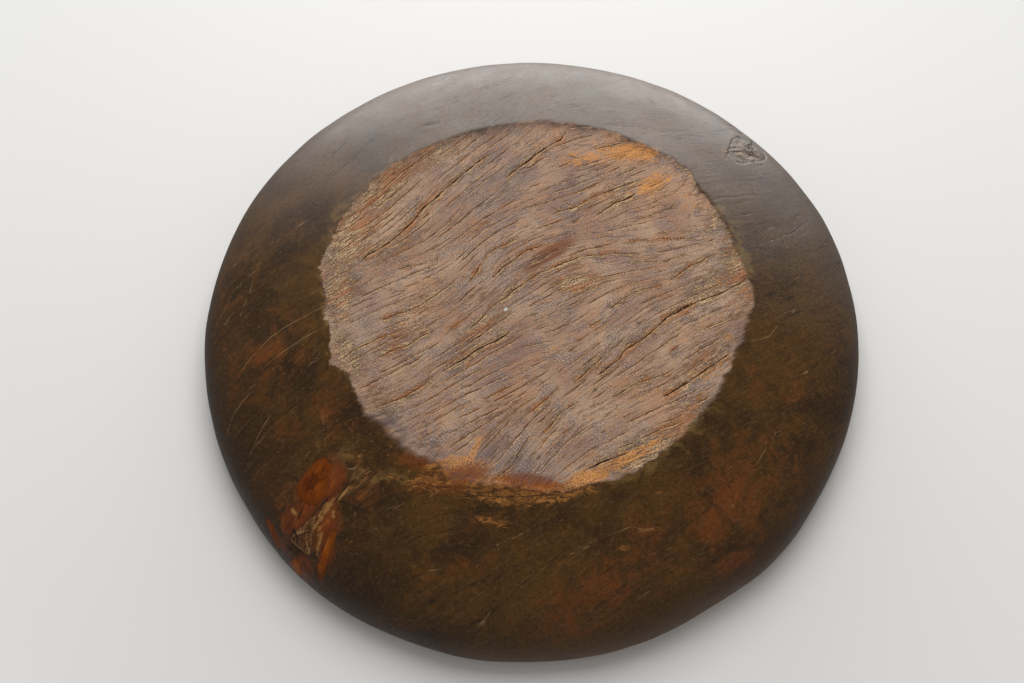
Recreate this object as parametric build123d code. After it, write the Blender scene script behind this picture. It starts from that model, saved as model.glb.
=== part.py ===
from build123d import *
import math
import os

# Dough bowl dug out of one block of hardwood, standing on its flat base.
# Millimetres and degrees, +Z up, origin at the centre of the base's underside.

# Bowl: overall sizes
rim_diameter = 600
base_diameter = 370
bowl_height = 105
rim_thickness = 22
floor_thickness = 28
hollow_floor_diameter = 250

# Bowl: how the wall curves, outside and inside
wall_flare_angle = 18
wall_flare_reach = 100
rim_upright_reach = 50
hollow_flare_reach = 100
hollow_upright_reach = 42

# Dead knots: stubs of branch wood, gum and bark that sit in pockets of the wall
knot_clearance = 0.15
lobe_depth = 7
core_depth = 8
seam_depth = 5
collar_depth = 8
eye_depth = 13

# Side knot: each piece has its azimuth from +X, its height on the outer wall,
# and its turn away from the line straight up the wall
upper_lobe_azimuth = 2
upper_lobe_height = 22
upper_lobe_turn = 20
upper_lobe_length = 40
upper_lobe_wide_radius = 14
upper_lobe_narrow_radius = 10

right_lobe_azimuth = -7.8
right_lobe_height = 44
right_lobe_turn = 8
right_lobe_length = 46
right_lobe_wide_radius = 5
right_lobe_narrow_radius = 4

rim_lobe_azimuth = -3.5
rim_lobe_height = 75
rim_lobe_turn = -3
rim_lobe_length = 30
rim_lobe_wide_radius = 8.5
rim_lobe_narrow_radius = 6

left_lobe_azimuth = 2.6
left_lobe_height = 64
left_lobe_turn = 50
left_lobe_length = 30
left_lobe_wide_radius = 7
left_lobe_narrow_radius = 4.5

core_azimuth = -2.8
core_height = 40
core_turn = 6
core_length = 32
core_width = 24
core_corner_radius = 3

seam_azimuth = -5.5
seam_height = 14
seam_turn = -18
seam_length = 44
seam_wide_radius = 4
seam_narrow_radius = 2.5

# Rim knot: an eye of branch wood held in a collar of bark
rim_knot_azimuth = 185.5
rim_knot_height = 30
rim_knot_turn = 10
collar_length = 48
collar_wide_radius = 19
collar_narrow_radius = 14
eye_rise = 5
eye_length = 20
eye_wide_radius = 8
eye_narrow_radius = 6.5


def wall_curve():
    """Outside of the wall, from the base's edge up to the lip."""
    flare = math.radians(wall_flare_angle)
    foot = Vector(base_diameter / 2, 0)
    lip = Vector(rim_diameter / 2, bowl_height - rim_thickness / 2)
    flared = foot + Vector(math.cos(flare), math.sin(flare)) * wall_flare_reach
    upright = lip - Vector(0, rim_upright_reach)
    return Bezier(foot, flared, upright, lip)


def hollow_curve():
    """Inside of the wall, from the lip down to the level floor of the hollow."""
    lip = Vector(rim_diameter / 2 - rim_thickness, bowl_height - rim_thickness / 2)
    floor_edge = Vector(hollow_floor_diameter / 2, floor_thickness)
    upright = lip - Vector(0, hollow_upright_reach)
    level = floor_edge + Vector(hollow_flare_reach, 0)
    return Bezier(lip, upright, level, floor_edge)


def bowl_blank():
    """The whole bowl before any knot pocket: its section turned about the axis."""
    outside = wall_curve()
    inside = hollow_curve()
    lip_top = Vector(rim_diameter / 2 - rim_thickness / 2, bowl_height)
    section = make_face(
        [
            Line((0, 0), outside @ 0),
            outside,
            ThreePointArc(outside @ 1, lip_top, inside @ 0),
            inside,
            Line(inside @ 1, (0, floor_thickness)),
            Line((0, floor_thickness), (0, 0)),
        ]
    )
    return revolve(Plane.XZ * section, Axis.Z)


def wall_place(azimuth, height, turn):
    """Place on the outer wall: y up the wall's slope, z straight out of the wood, then turned."""
    outside = wall_curve()
    low = 0.0
    high = 1.0
    while high - low > 1e-6:
        middle = (low + high) / 2
        if (outside @ middle).Y < height:
            low = middle
        else:
            high = middle
    point = outside @ low
    slope = outside % low
    angle = math.radians(azimuth)
    radial = Vector(math.cos(angle), math.sin(angle), 0)
    along_rim = Vector(-math.sin(angle), math.cos(angle), 0)
    outward = radial * slope.Y - Vector(0, 0, slope.X)
    origin = radial * point.X + Vector(0, 0, point.Y)
    return Plane(origin, x_dir=along_rim, z_dir=outward).location * Rot(0, 0, turn)


def egg(length, wide_radius, narrow_radius, rise=0):
    """Circles whose hull is an egg outline, long along y, with its wide end up the wall."""
    return [
        (0, rise + length / 2 - wide_radius, wide_radius),
        (0, rise + narrow_radius - length / 2, narrow_radius),
    ]


def wedge(length, width, corner_radius):
    """Circles whose hull is a rounded triangle, with its point down the wall."""
    side = width / 2 - corner_radius
    end = length / 2 - corner_radius
    return [(x, y, corner_radius) for x, y in ((side, end), (-side, end), (0, -end))]


def plug(place, circles, depth, clearance=0):
    """Straight plug drawn in by the clearance, which reaches as far out of the wall as into it."""
    outline = make_hull([(Pos(x, y) * Circle(radius - clearance)).edge() for x, y, radius in circles])
    return place * Pos(0, 0, -depth) * extrude(outline, 2 * depth)


def knot_pieces():
    """Name, place, outline and depth of each knot piece that has a pocket of its own."""
    return [
        (
            "side_knot_core",
            wall_place(core_azimuth, core_height, core_turn),
            wedge(core_length, core_width, core_corner_radius),
            core_depth,
        ),
        (
            "side_knot_upper_lobe",
            wall_place(upper_lobe_azimuth, upper_lobe_height, upper_lobe_turn),
            egg(upper_lobe_length, upper_lobe_wide_radius, upper_lobe_narrow_radius),
            lobe_depth,
        ),
        (
            "side_knot_right_lobe",
            wall_place(right_lobe_azimuth, right_lobe_height, right_lobe_turn),
            egg(right_lobe_length, right_lobe_wide_radius, right_lobe_narrow_radius),
            lobe_depth,
        ),
        (
            "side_knot_rim_lobe",
            wall_place(rim_lobe_azimuth, rim_lobe_height, rim_lobe_turn),
            egg(rim_lobe_length, rim_lobe_wide_radius, rim_lobe_narrow_radius),
            lobe_depth,
        ),
        (
            "side_knot_left_lobe",
            wall_place(left_lobe_azimuth, left_lobe_height, left_lobe_turn),
            egg(left_lobe_length, left_lobe_wide_radius, left_lobe_narrow_radius),
            lobe_depth,
        ),
        (
            "side_knot_bark_seam",
            wall_place(seam_azimuth, seam_height, seam_turn),
            egg(seam_length, seam_wide_radius, seam_narrow_radius),
            seam_depth,
        ),
    ]


def build():
    """Every piece of the bowl by name."""
    blank = bowl_blank()
    pieces = {}
    pockets = []
    for name, place, circles, depth in knot_pieces():
        # Each piece grew against the ones before it, so their pockets are cut out of it
        pieces[name] = (blank & plug(place, circles, depth, knot_clearance)) - pockets
        pockets.append(plug(place, circles, depth))

    # The rim knot's eye goes through its bark collar into a deeper hole of its own
    place = wall_place(rim_knot_azimuth, rim_knot_height, rim_knot_turn)
    collar = egg(collar_length, collar_wide_radius, collar_narrow_radius)
    eye = egg(eye_length, eye_wide_radius, eye_narrow_radius, eye_rise)
    eye_hole = plug(place, eye, eye_depth)
    pockets.append(plug(place, collar, collar_depth))
    pockets.append(eye_hole)
    pieces["rim_knot_bark_collar"] = (blank & plug(place, collar, collar_depth, knot_clearance)) - eye_hole
    pieces["rim_knot_eye"] = blank & plug(place, eye, eye_depth, knot_clearance)

    pieces["bowl_body"] = blank - pockets
    return pieces


os.makedirs("parts", exist_ok=True)
for name, piece in build().items():
    export_step(piece, os.path.join("parts", name + ".step"))
    print(name, round(piece.volume / 1000, 1), "cm3")
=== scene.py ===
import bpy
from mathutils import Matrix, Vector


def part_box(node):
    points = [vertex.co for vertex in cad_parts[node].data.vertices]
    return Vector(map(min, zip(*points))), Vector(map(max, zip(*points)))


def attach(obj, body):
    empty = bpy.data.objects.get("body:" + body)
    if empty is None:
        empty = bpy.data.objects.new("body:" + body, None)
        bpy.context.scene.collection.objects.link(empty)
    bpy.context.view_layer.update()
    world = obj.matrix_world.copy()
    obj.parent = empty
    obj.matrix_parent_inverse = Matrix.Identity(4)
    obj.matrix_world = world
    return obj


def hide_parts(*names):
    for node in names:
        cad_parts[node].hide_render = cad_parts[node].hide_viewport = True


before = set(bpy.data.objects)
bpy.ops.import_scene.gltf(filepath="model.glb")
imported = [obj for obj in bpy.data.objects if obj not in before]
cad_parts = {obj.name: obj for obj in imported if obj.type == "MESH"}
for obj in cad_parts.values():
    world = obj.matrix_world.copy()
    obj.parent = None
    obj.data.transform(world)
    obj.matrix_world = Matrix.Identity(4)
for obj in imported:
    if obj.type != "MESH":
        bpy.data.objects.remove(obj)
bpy.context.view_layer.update()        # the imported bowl: nine nodes on one body, root

import functools
import math
import types

import bpy
import numpy as np

mm = 0.001

# The picture looks at the underside, so its up and right lie in the plane of the base
photoUp = np.array((-1.0, 1.0, 0.0)) / math.sqrt(2)
photoRight = np.array((-1.0, -1.0, 0.0)) / math.sqrt(2)
bowlUp = np.array((0.0, 0.0, 1.0))


# Colour as seen on screen, 0 to 255, turned into the linear light that nodes use
def tone(red, green, blue):
    seen = np.array((red, green, blue)) / 255
    linear = np.where(seen <= 0.04045, seen / 12.92, ((seen + 0.055) / 1.055) ** 2.4)
    return (*linear.tolist(), 1.0)


# Smooth step: 3t^2 - 2t^3 of the value's place between low and high, held at 0 and 1 outside
def smoothStep(value, low, high):
    t = np.clip((value - low) / (high - low), 0, 1)
    return t * t * (3 - 2 * t)


# Lattice of the soft noise, how far on each layer starts, and the layers in use
noiseRule = dict(seed=11, size=256, layerAcross=37, layerUp=91)
noiseLayers = dict(
    fringe=3, wanderRight=5, wanderUp=7, swell=9, baseWaves=12, ridges=14, wallWaves=16, hollowWaves=18,
    knots=20,
)
noiseLattice = np.random.default_rng(noiseRule["seed"]).random((noiseRule["size"], noiseRule["size"]))


# Soft noise, -1 to 1: lattice values blended by the smooth step of the place between them
def softNoise(x, y, layer):
    column = np.floor(x).astype(int)
    row = np.floor(y).astype(int)
    across = smoothStep(x - column, 0, 1)
    up = smoothStep(y - row, 0, 1)
    firstColumn = column + noiseRule["layerAcross"] * layer
    firstRow = row + noiseRule["layerUp"] * layer

    # Lattice value some columns and rows on; the lattice repeats at its size
    def corner(i, j):
        return noiseLattice[(firstColumn + i) % noiseRule["size"], (firstRow + j) % noiseRule["size"]]

    low = corner(0, 0) * (1 - across) + corner(1, 0) * across
    high = corner(0, 1) * (1 - across) + corner(1, 1) * across
    return 2 * (low * (1 - up) + high * up) - 1


# Two waves: a long soft noise plus a share of a short one on the next layer
def twoWaves(x, y, layer, longWave, shortWave, shortShare):
    slow = softNoise(x / longWave, y / longWave, layer)
    return slow + shortShare * softNoise(x / shortWave, y / shortWave, layer + 1)


# Bowl: sizes in mm, angles in degrees. Places on the underside are (right, up) in the picture,
# with the wall laid flat around the base
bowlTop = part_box("bowl_body")[1]
bowl = dict(
    rim=bowlTop[0] / mm,
    height=bowlTop[2] / mm,
    foot=185,
    lip=11,
    flareAngle=18,
    flareReach=100,
    uprightReach=50,
    hollowFloor=125,
    floorThickness=28,
    hollowFlare=100,
    hollowUpright=42,
    pictureTurn=225,                  # angle of +X in the picture, where azimuths run the other way
    footArc=(24, 4),                  # the foot's radius is a mean this far to each side, in such steps
    grainAngle=36,
    fibreBlend=26,
    fibreSpacing=12,
    fibreReach=384,
    meanPull=2.0,                     # weight of the mean direction among the cracks' own
    walkSteps=24,                     # steps of a walk along a fibre, and its least share forward
    leastForward=0.3,
    gridAlong=144,
    gridAcross=288,
    curveSteps=400,
    wallRows=44,
    rowSpread=(0.75, 0.25),           # even part and growing part of the wall rows' spacing
    lipRows=7,
    hollowRows=17,
    floorRows=6,
    edgeRagged=1.6,
    fringeRates=(0.45, 1.1, 0.5),     # waves per degree, long and short, and the share of the short
    fringeSeam=4,
    edgeBlend=5,
    baseSink=0.8,
    baseWaves=0.8,
    baseWaveRule=(0.5, 0.35),         # mean and swing of the waves, and of the ridges below
    baseWaveLengths=(55, 22, 0.5),    # long and short wave, and the share of the short
    baseRidges=0.2,
    baseRidgeRule=(0.5, 0.4),
    ridgeLengths=(90, 5),             # along and across the grain, for the long and the short ridges
    shortRidgeLengths=(50, 2.8),
    shortRidges=0.6,
    wearDepth=0.25,
    wallWaves=0.7,
    wallWaveLengths=(60, 24, 0.4),
    wallWavesFrom=30,                 # mm from the base's edge over which they grow
    hollowWaves=0.6,
    hollowWaveLengths=(42, 18, 0.5),
    pocketDepth=2.5,
    pocketEdge=(1.4, 3.0),            # mm inside a knot's outline where its pocket starts and is full
    lipSeam=9,
    insideFrom=(0.3, 0.85),           # share of the lip over which the hollow's finish takes over
    dustAndSheenLean=0.35,                   # painted sheen, partly dust, on the upper wall: up plus this share of right, between two limits
    dustAndSheenReach=(20, 240),
    paintedShadeLean=(0.85, 0.5),             # painted shade on the lower left: shares of left and down, between two limits
    paintedShadeReach=(200, 320),
    paintedLightDown=(200, 300),              # painted light on the lower wall: down, and right, between two limits each
    paintedLightRight=(-120, 20),
)

# Base patch: its edge as (angle in the picture, radius)
baseOutline = [
    (4, 191), (11, 186), (26, 186), (34, 183), (40, 192), (49, 190), (57, 184), (75, 181), (87, 181),
    (96, 177), (106, 174), (121, 179), (134, 182), (148, 185), (164, 185), (173, 189), (177, 184),
    (181, 180), (196, 179), (202, 187), (205, 180), (208, 175), (216, 179), (220, 183), (226, 178),
    (237, 183), (244, 178), (249, 188), (256, 184), (267, 183), (277, 190), (284, 185), (292, 190),
    (302, 187), (317, 183), (341, 183), (352, 188), (357, 194),
]

# Rim: where the carved outline swells or dips, as (angle, half width in degrees, height)
rimSwells = [(20, 18, 3.6), (332, 16, -3.0), (301, 8, -3.6), (257, 20, 4.2), (230, 11, 3.0), (166, 9, -1.2)]

# Drying cracks of the base, widest first, each a line along the grain
wideCracks = [
    [(-151, 29), (-146, 36), (-126, 50), (-109, 68), (-97, 86), (-83, 101), (-56, 129), (-36, 146)],
    [(56, 75), (74, 91), (84, 94), (93, 101), (98, 102)],
    [(-78, -79), (-55, -64), (-47, -56), (-31, -49), (-17, -39)],
    [(54, -83), (74, -66), (78, -59), (95, -47), (118, -25), (146, -9)],
    [(121, -20), (164, -2), (190, 13)],
    [(-25, 117), (-8, 133), (13, 151), (27, 160), (35, 174)],
    [(107, -103), (124, -93), (171, -59)],
    [(45, -168), (55, -161), (80, -152)],
]
middleCracks = [
    [(-136, -31), (-96, -14), (-63, 14)],
    [(-56, 6), (-39, 38), (-31, 44), (-9, 55)],
    [(-36, 12), (-26, 23), (-10, 37), (-2, 43), (7, 46)],
    [(-55, -39), (-31, -12), (-22, -6), (-15, 2), (3, 15), (27, 29), (43, 35), (69, 38), (100, 37)],
    [(75, 116), (82, 122), (99, 130)],
    [(15, 76), (23, 82), (40, 87), (57, 98), (99, 116)],
    [(120, 10), (140, 26), (149, 29), (154, 34), (166, 39)],
    [(65, -19), (89, -1), (117, 7)],
    [(-133, -67), (-122, -59), (-105, -52), (-96, -44), (-83, -38)],
    [(-137, -114), (-111, -103), (-94, -92), (-82, -81)],
    [(-28, -175), (-16, -160), (-3, -137)],
    [(-6, -120), (25, -90)],
    [(34, -89), (82, -44)],
    [(6, -140), (22, -118), (39, -105)],
    [(65, -103), (88, -89), (111, -81), (122, -74)],
    [(-173, 93), (-155, 105), (-140, 124), (-122, 140)],
]
fineCracks = [
    [(-6, 39), (7, 46), (22, 50)], [(-6, 23), (21, 41), (43, 49)], [(-120, 22), (-85, 32), (-77, 39)],
    [(22, 128), (40, 137)], [(27, 142), (49, 140)], [(-6, 85), (39, 101), (67, 115)],
    [(100, 76), (120, 82), (126, 86), (132, 95)], [(108, 58), (128, 62)], [(78, 49), (114, 53), (147, 54)],
    [(78, 28), (117, 31), (140, 39)], [(-164, -68), (-154, -59), (-131, -46), (-105, -35)],
    [(-46, -103), (-38, -102), (-11, -88)], [(-75, -41), (-41, -13)], [(-9, -26), (7, -21)],
    [(-11, -55), (19, -48)], [(45, -103), (58, -91)], [(42, -115), (51, -109), (65, -105)],
    [(56, -124), (69, -113)], [(73, -122), (84, -116)], [(22, -138), (37, -127)], [(1, -160), (9, -152)],
    [(119, -116), (152, -100)], [(88, -140), (121, -125), (131, -123)], [(63, -151), (88, -142)],
    [(44, -38), (65, -25)], [(28, -61), (40, -55)], [(115, -61), (129, -51)],
    [(141, -39), (169, -28), (183, -21)],
]
wallCracks = [
    [(-194, 120), (-183, 129), (-149, 168), (-142, 183), (-112, 198), (-86, 206), (-18, 248)],
    [(35, 174), (55, 174), (74, 179), (122, 178), (152, 184)],
    [(152, 88), (171, 98), (216, 114)],
    [(189, 81), (208, 90)],
    [(166, 53), (186, 50)],
    [(205, 51), (242, 74), (262, 96)],
    [(202, 11), (220, 16), (251, 44)],
    [(210, -67), (226, -61), (237, -50)],
    [(-115, -230), (-85, -218), (-64, -218)],
    [(-160, 174), (-154, 178)],
]

# Pale scratches on the wall
scratches = [
    [(-244, 39), (-262, 27), (-277, 14), (-290, -10), (-297, -30)],
    [(-174, -14), (-207, -26), (-229, -37), (-262, -69)], [(-187, -38), (-215, -53), (-237, -66)],
    [(-243, -84), (-263, -101), (-279, -124)], [(-223, -107), (-235, -121), (-246, -139)],
    [(-247, 50), (-255, 14), (-266, -20)], [(-184, -140), (-191, -147), (-195, -156)],
    [(182, -51), (205, -42), (217, -27)], [(-35, -232), (-21, -226), (1, -217)],
    [(187, -161), (194, -151), (200, -138)], [(200, -171), (212, -162), (222, -141)],
    [(167, -142), (160, -153)], [(174, -195), (184, -189)],
    [(25, -240), (44, -231), (58, -223), (79, -215), (94, -217), (106, -213)], [(-97, -309), (-94, -321)],
    [(154, -226), (165, -220)], [(156, -241), (162, -237)],
]

# Tan scars on the wall, where splinters came away round the knot and under the base
scars = [
    [(-176, -192), (-155, -181), (-143, -169), (-134, -164), (-110, -174), (-85, -183), (-52, -188)],
    [(-62, -190), (-11, -191), (22, -189), (46, -184)],
    [(-180, -203), (-173, -195), (-164, -186)],
    [(-207, -219), (-194, -212), (-179, -206), (-181, -222), (-183, -236)],
    [(-187, -233), (-189, -240), (-195, -247)],
]

# Patches of another colour: (right, up, half length, half width, strength), long along the grain unless
# a last number gives their own angle
rustPatches = [
    (165, -193, 60, 40, 0.66), (190, -150, 45, 40, 0.45), (88, -241, 60, 30, 0.4),
    (46, -274, 70, 30, 0.6), (-237, -63, 55, 40, 0.45), (-277, 10, 50, 40, 0.3),
    (-91, -160, 24, 9, 0.8, -20), (-170, -120, 45, 40, 0.35), (175, -235, 40, 25, 0.6),
    (-60, -240, 60, 40, 0.3), (215, -90, 60, 40, 0.3), (-185, -190, 60, 45, 0.6),
    (-3, -178, 30, 9, 1.6, 172), (-62, -174, 34, 10, 1.4, 12), (16, 38, 34, 9, 1.5), (-4, 26, 30, 5, 0.7),
    (36, 24, 18, 6, 0.8), (112, -28, 30, 5, 0.5), (-150, 60, 30, 5, 0.5), (-30, 150, 36, 6, 0.5),
    (120, -95, 40, 6, 0.6), (-110, -38, 26, 6, 0.6), (140, 20, 30, 5, 0.6),
]
amberPatches = [
    (-166, -171, 20, 12, 1.1, 75), (-186, -178, 24, 12, 1.1, 75), (-194, -196, 18, 10, 1.0, 60),
    (-172, -216, 28, 9, 1.1, 82), (-204, -246, 20, 11, 1.1, 55), (-186, -248, 14, 6, 0.9, 70),
    (-231, -211, 16, 8, 0.8, 120), (-223, -231, 16, 8, 0.8, 100), (-188, -210, 52, 34, 0.42, 65),
    (-207, -203, 17, 13, 0.9, 60),
]
punkPatches = [
    (88, 147, 24, 12, 1, 8), (109, 144, 14, 8, 1), (48, 138, 22, 9, 0.8, 15), (112, 112, 22, 12, 0.9, 30),
    (75, 150, 36, 11, 0.55, 5), (60, 136, 26, 8, 0.5, 10), (110, 112, 16, 8, 0.6, 30),
    (-62, -168, 28, 11, 1.6, 12), (-48, -150, 16, 4, 1.2, 68), (-30, -181, 28, 9, 1.5, 175),
    (20, -186, 28, 8, 1.5, 0), (44, -174, 24, 9, 1.2, 22), (76, -158, 28, 8, 0.9, 28),
    (96, -146, 24, 6, 0.6, 30), (-20, -192, 40, 8, 0.9, 175), (142, -101, 16, 8, 0.6),
    (169, -47, 10, 8, 0.6), (-95, -176, 22, 7, 0.7, 20), (-32, -211, 20, 5, 0.8, 172),
    (75, -232, 10, 3, 0.8, 15), (103, -186, 10, 4, 0.6, 15), (96, -216, 14, 3, 0.8, 5),
    (-110, -30, 22, 7, 0.35), (150, -80, 30, 8, 0.5), (-20, 60, 40, 8, 0.3),
]
goldPatches = [
    (-160, 56, 52, 26, 1.0, 72), (-168, -2, 42, 20, 0.95, 92), (-134, 106, 50, 26, 0.9, 50),
    (-122, 44, 50, 18, 0.65), (-158, -62, 36, 16, 0.9, 110), (-90, 140, 40, 16, 0.75, 35),
    (182, 22, 50, 17, 1.0, 95), (158, 8, 44, 16, 0.8), (166, 78, 36, 11, 0.8, 65),
    (92, -152, 50, 20, 1.0, 28), (130, -122, 40, 18, 0.85, 45), (41, 8, 24, 10, 1.6, 5),
    (148, -68, 46, 16, 0.75), (-45, -38, 38, 12, 0.85), (-120, -50, 54, 16, 0.6),
    (-124, -106, 36, 14, 0.7, 130), (-160, -156, 26, 12, 0.8, 60), (-140, -170, 26, 9, 0.8, 0),
    (-112, -172, 24, 8, 0.7, -15), (-178, -136, 20, 10, 0.5, 70),
]
stainPatches = [
    (41, 159, 14, 6, 0.6), (81, 35, 8, 6, 0.5), (126, 86, 14, 5, 0.7), (-75, -152, 24, 9, 0.9, 155),
    (-36, -152, 14, 10, 0.8), (-118, -125, 16, 9, 0.8, 135), (-7, -160, 12, 8, 0.7), (24, -20, 26, 12, 0.5),
    (0, 95, 40, 14, 0.4), (5, 40, 36, 7, 0.4), (-20, -70, 30, 16, 0.35), (60, 120, 26, 10, 0.4),
    (-30, 130, 50, 26, 0.55), (30, 110, 44, 22, 0.4), (-60, 90, 40, 16, 0.35), (-20, -160, 26, 9, 0.7, 10),
]
softEdges = [
    (-118, -138, 40, 26, 1, 135), (-70, -168, 40, 26, 1, 160), (0, 178, 70, 18, 0.8, 0),
    (-70, 165, 50, 16, 0.5, 25), (150, -110, 40, 22, 0.6, 50), (184, -30, 40, 14, 0.5, 80),
]
flecks = [
    (-23, -18, 2.4, 1.8, 1), (-36, 70, 1.3, 1.1, 0.9), (-60, 104, 1.1, 0.9, 0.9), (-7, 139, 1.3, 1, 0.9),
]

# Small marks: dark pits and clefts, and pale chips and lips, on the wall and on the knots alike
darkMarks = [
    (209, 203, 3, 2.2, 1), (204, 193, 2.6, 2, 1), (216, 216, 3.4, 2.2, 1), (217, 189, 20, 1.3, 1, 54),
    (210, 176, 3.4, 2.6, 1, 10), (200, 167, 11, 0.9, 0.9, 10), (186, 158, 6, 0.9, 0.8, 70),
    (205, 214, 13, 1.6, 1, 25), (226, 198, 12, 1.4, 0.9, 105), (-94, 182, 7, 1.8, 1, 20),
    (-176, -190, 20, 0.9, 1, 42), (-197, -196, 12, 1.6, 0.8, 60), (-204, -212, 10, 1.5, 0.9, 120),
    (-214, -226, 14, 1.3, 0.9, 115), (-188, -246, 12, 1.2, 0.8, 80), (-163, -206, 10, 1.2, 0.6, 70),
    (-182, -174, 12, 1.4, 0.4, 100),
]
paleMarks = [
    (200, 162, 10, 1.8, 0.9, 8), (184, 160, 6, 1.6, 0.7, 70), (193, 172, 8, 1.6, 0.6, 40),
    (-84, 184, 6, 1.6, 0.7, 20), (-203, -196, 7, 1.8, 1.3, 118), (-182, -206, 4, 1.6, 0.9, 60),
    (-170, -190, 14, 1.2, 0.8, 45), (-179, -198, 10, 1.3, 0.8, 60), (-134, -141, 3, 1.6, 0.7),
    (-120, -154, 4, 1.2, 0.7), (-153, -122, 3, 1.3, 0.7), (-144, -153, 4, 1.8, 0.8),
    (-102, -168, 4, 1.4, 0.8), (-192, -226, 12, 1.2, 0.8, 100), (-199, -212, 9, 1.3, 0.8, 15),
    (-172, -193, 8, 4.5, 0.9, 60), (-167, -199, 7, 3, 0.8, 100), (-177, -201, 6, 3, 0.8, 45),
    (-181, -222, 17, 1.8, 0.9, 67), (-158, -183, 12, 1.6, 0.8, 48),
]

# Half width, depth and how far wear spreads beside a crack
crackSizes = dict(
    wide=(0.9, 1.0, 6.5), middle=(0.6, 0.55, 4.5), fine=(0.48, 0.35, 2.4), wall=(0.5, 0.2, 0.5),
    scratch=(0.4, 0.1, 0.5), scar=(1.7, 0.6, 0.5),
)

# Small checks of the base that are grown from seeded places, in mm; reach is a share of the base's radius
seededChecks = dict(
    count=2000, seed=5, reach=0.97, steps=9, stride=(1.2, 9), sampling=3, spacing=4.2, edgeMargin=6,
    width=(0.28, 0.55), depth=(0.05, 0.25), wear=0.8,
)

# Cracks: how a line wanders, tapers at its ends and swells, and how far its sides reach, in mm
crackShape = dict(
    farAway=50.0,
    wander=0.6,
    wanderLength=9,
    boxMargin=(5, 1.4),      # searched round a line: this much, plus this many times the wear's reach
    taperLength=9,
    taperPower=0.7,
    swell=(0.8, 0.35),       # mean and swing of the width along the line
    swellLength=6,
    shoulder=1.0,
    widthFade=1.7,
)

# Marks that each point of the bowl carries for its finish, three to an attribute
bowlMarks = dict(
    spotMarks=("darkMark", "paleMark", "deepShade"),
    crackLine=("crackOffset", "crackWidth", "crackWear"),
    scratchLine=("scratchOffset", "scratchWidth", "amberMark"),
    scarLine=("scarOffset", "scarWidth", "fleck"),
    edges=("edgeGap", "knotEdge", "inside"),
    warmMarks=("rust", "punk", "gold"),
    coolMarks=("stain", "bloom", "softEdge"),
)
# What the hollow carries for them where it isn't 0
hollowMarks = dict(crackOffset=50, scratchOffset=50, scarOffset=50, edgeGap=-400, knotEdge=90, inside=1)


# Cubic curve: four corners weighted by (1-t)^3, 3(1-t)^2 t, 3(1-t) t^2 and t^3
def bezier(t, corners):
    weights = (1 - t) ** 3, 3 * (1 - t) ** 2 * t, 3 * (1 - t) * t * t, t ** 3
    return [sum(w * corner[axis] for w, corner in zip(weights, corners)) for axis in (0, 1)]


# Slope of the cubic curve: differences of its corners weighted by (1-t)^2, 2(1-t)t and t^2
def bezierSlope(t, corners):
    weights = (1 - t) ** 2, 2 * (1 - t) * t, t * t
    return [
        sum(w * (b[axis] - a[axis]) for w, a, b in zip(weights, corners, corners[1:]))
        for axis in (0, 1)
    ]


# Direction outwards at an angle in the picture: its cosine to the right plus its sine up
def radialAt(angle):
    return np.cos(angle)[..., None] * photoRight + np.sin(angle)[..., None] * photoUp


# Distance along a row of points: the sum of the steps before each
def runLength(points):
    return np.concatenate([[0], np.cumsum(np.hypot(*np.diff(points, axis=0).T))])


# Radius of the base's edge: the listed outline, joined up round the circle, with a ragged fringe
def baseEdge(angle):
    degrees = np.degrees(angle) % 360
    angles, radii = np.array(baseOutline, float).T
    smooth = np.interp(degrees, angles, radii, period=360)
    longRate, shortRate, shortShare = bowl["fringeRates"]
    layer = noiseLayers["fringe"]
    fringe = softNoise(degrees * longRate, degrees * 0, layer)
    fringe = fringe + shortShare * softNoise(degrees * shortRate, degrees * 0, layer + 1)
    seam = smoothStep(np.minimum(degrees, 360 - degrees), 0, bowl["fringeSeam"])
    return smooth + bowl["edgeRagged"] * fringe * seam


# Radius of the wall's foot: the mean of the same outline over a wide arc, so the wall has no spokes
def footEdge(angle):
    degrees = np.degrees(angle)
    angles, radii = np.array(baseOutline, float).T
    reach, spacing = bowl["footArc"]
    arc = np.arange(-reach, reach + 1, spacing)
    return sum(np.interp((degrees + step) % 360, angles, radii, period=360) for step in arc) / len(arc)


# Radius of the rim: a circle plus a bell curve for each swell
def rimEdge(angle):
    degrees = np.degrees(angle)
    radius = np.full(np.shape(angle), float(bowl["rim"]))
    for middle, width, height in rimSwells:
        away = (degrees - middle + 180) % 360 - 180
        radius = radius + height * np.exp(-(away / width) ** 2)
    return radius


# Corners of the outer wall's curve for a foot and a rim radius
def wallCorners(foot, rim):
    flare = math.radians(bowl["flareAngle"])
    reach = bowl["flareReach"]
    lipHeight = bowl["height"] - bowl["lip"]
    flared = bowl["foot"] + reach * math.cos(flare)
    return (
        (foot, 0 * foot),
        (flared + 0 * foot, 0 * foot + reach * math.sin(flare)),
        (rim, 0 * rim + lipHeight - bowl["uprightReach"]),
        (rim, 0 * rim + lipHeight),
    )


# Even steps up the wall: the plain wall's own length at a fine row of t, read backwards
fineSteps = np.linspace(0, 1, bowl["curveSteps"])
plainWall = bezier(fineSteps, wallCorners(float(bowl["foot"]), float(bowl["rim"])))
wallRun = runLength(np.transpose(plainWall))
wallLength = wallRun[-1]
mapEnd = bowl["foot"] + wallLength      # the lip's distance from the middle with the wall laid flat


# Point and outward normal on the wall: the cubic section, turned to the angle in the picture
def wallSurface(angle, share):
    t = np.interp(share, wallRun / wallLength, fineSteps)
    corners = wallCorners(footEdge(angle), rimEdge(angle))
    radius, height = bezier(t, corners)
    run, rise = bezierSlope(t, corners)
    size = np.hypot(run, rise)
    radial = radialAt(angle)
    point = radius[..., None] * radial + height[..., None] * bowlUp
    normal = (rise / size)[..., None] * radial - (run / size)[..., None] * bowlUp
    return point, normal


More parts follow.
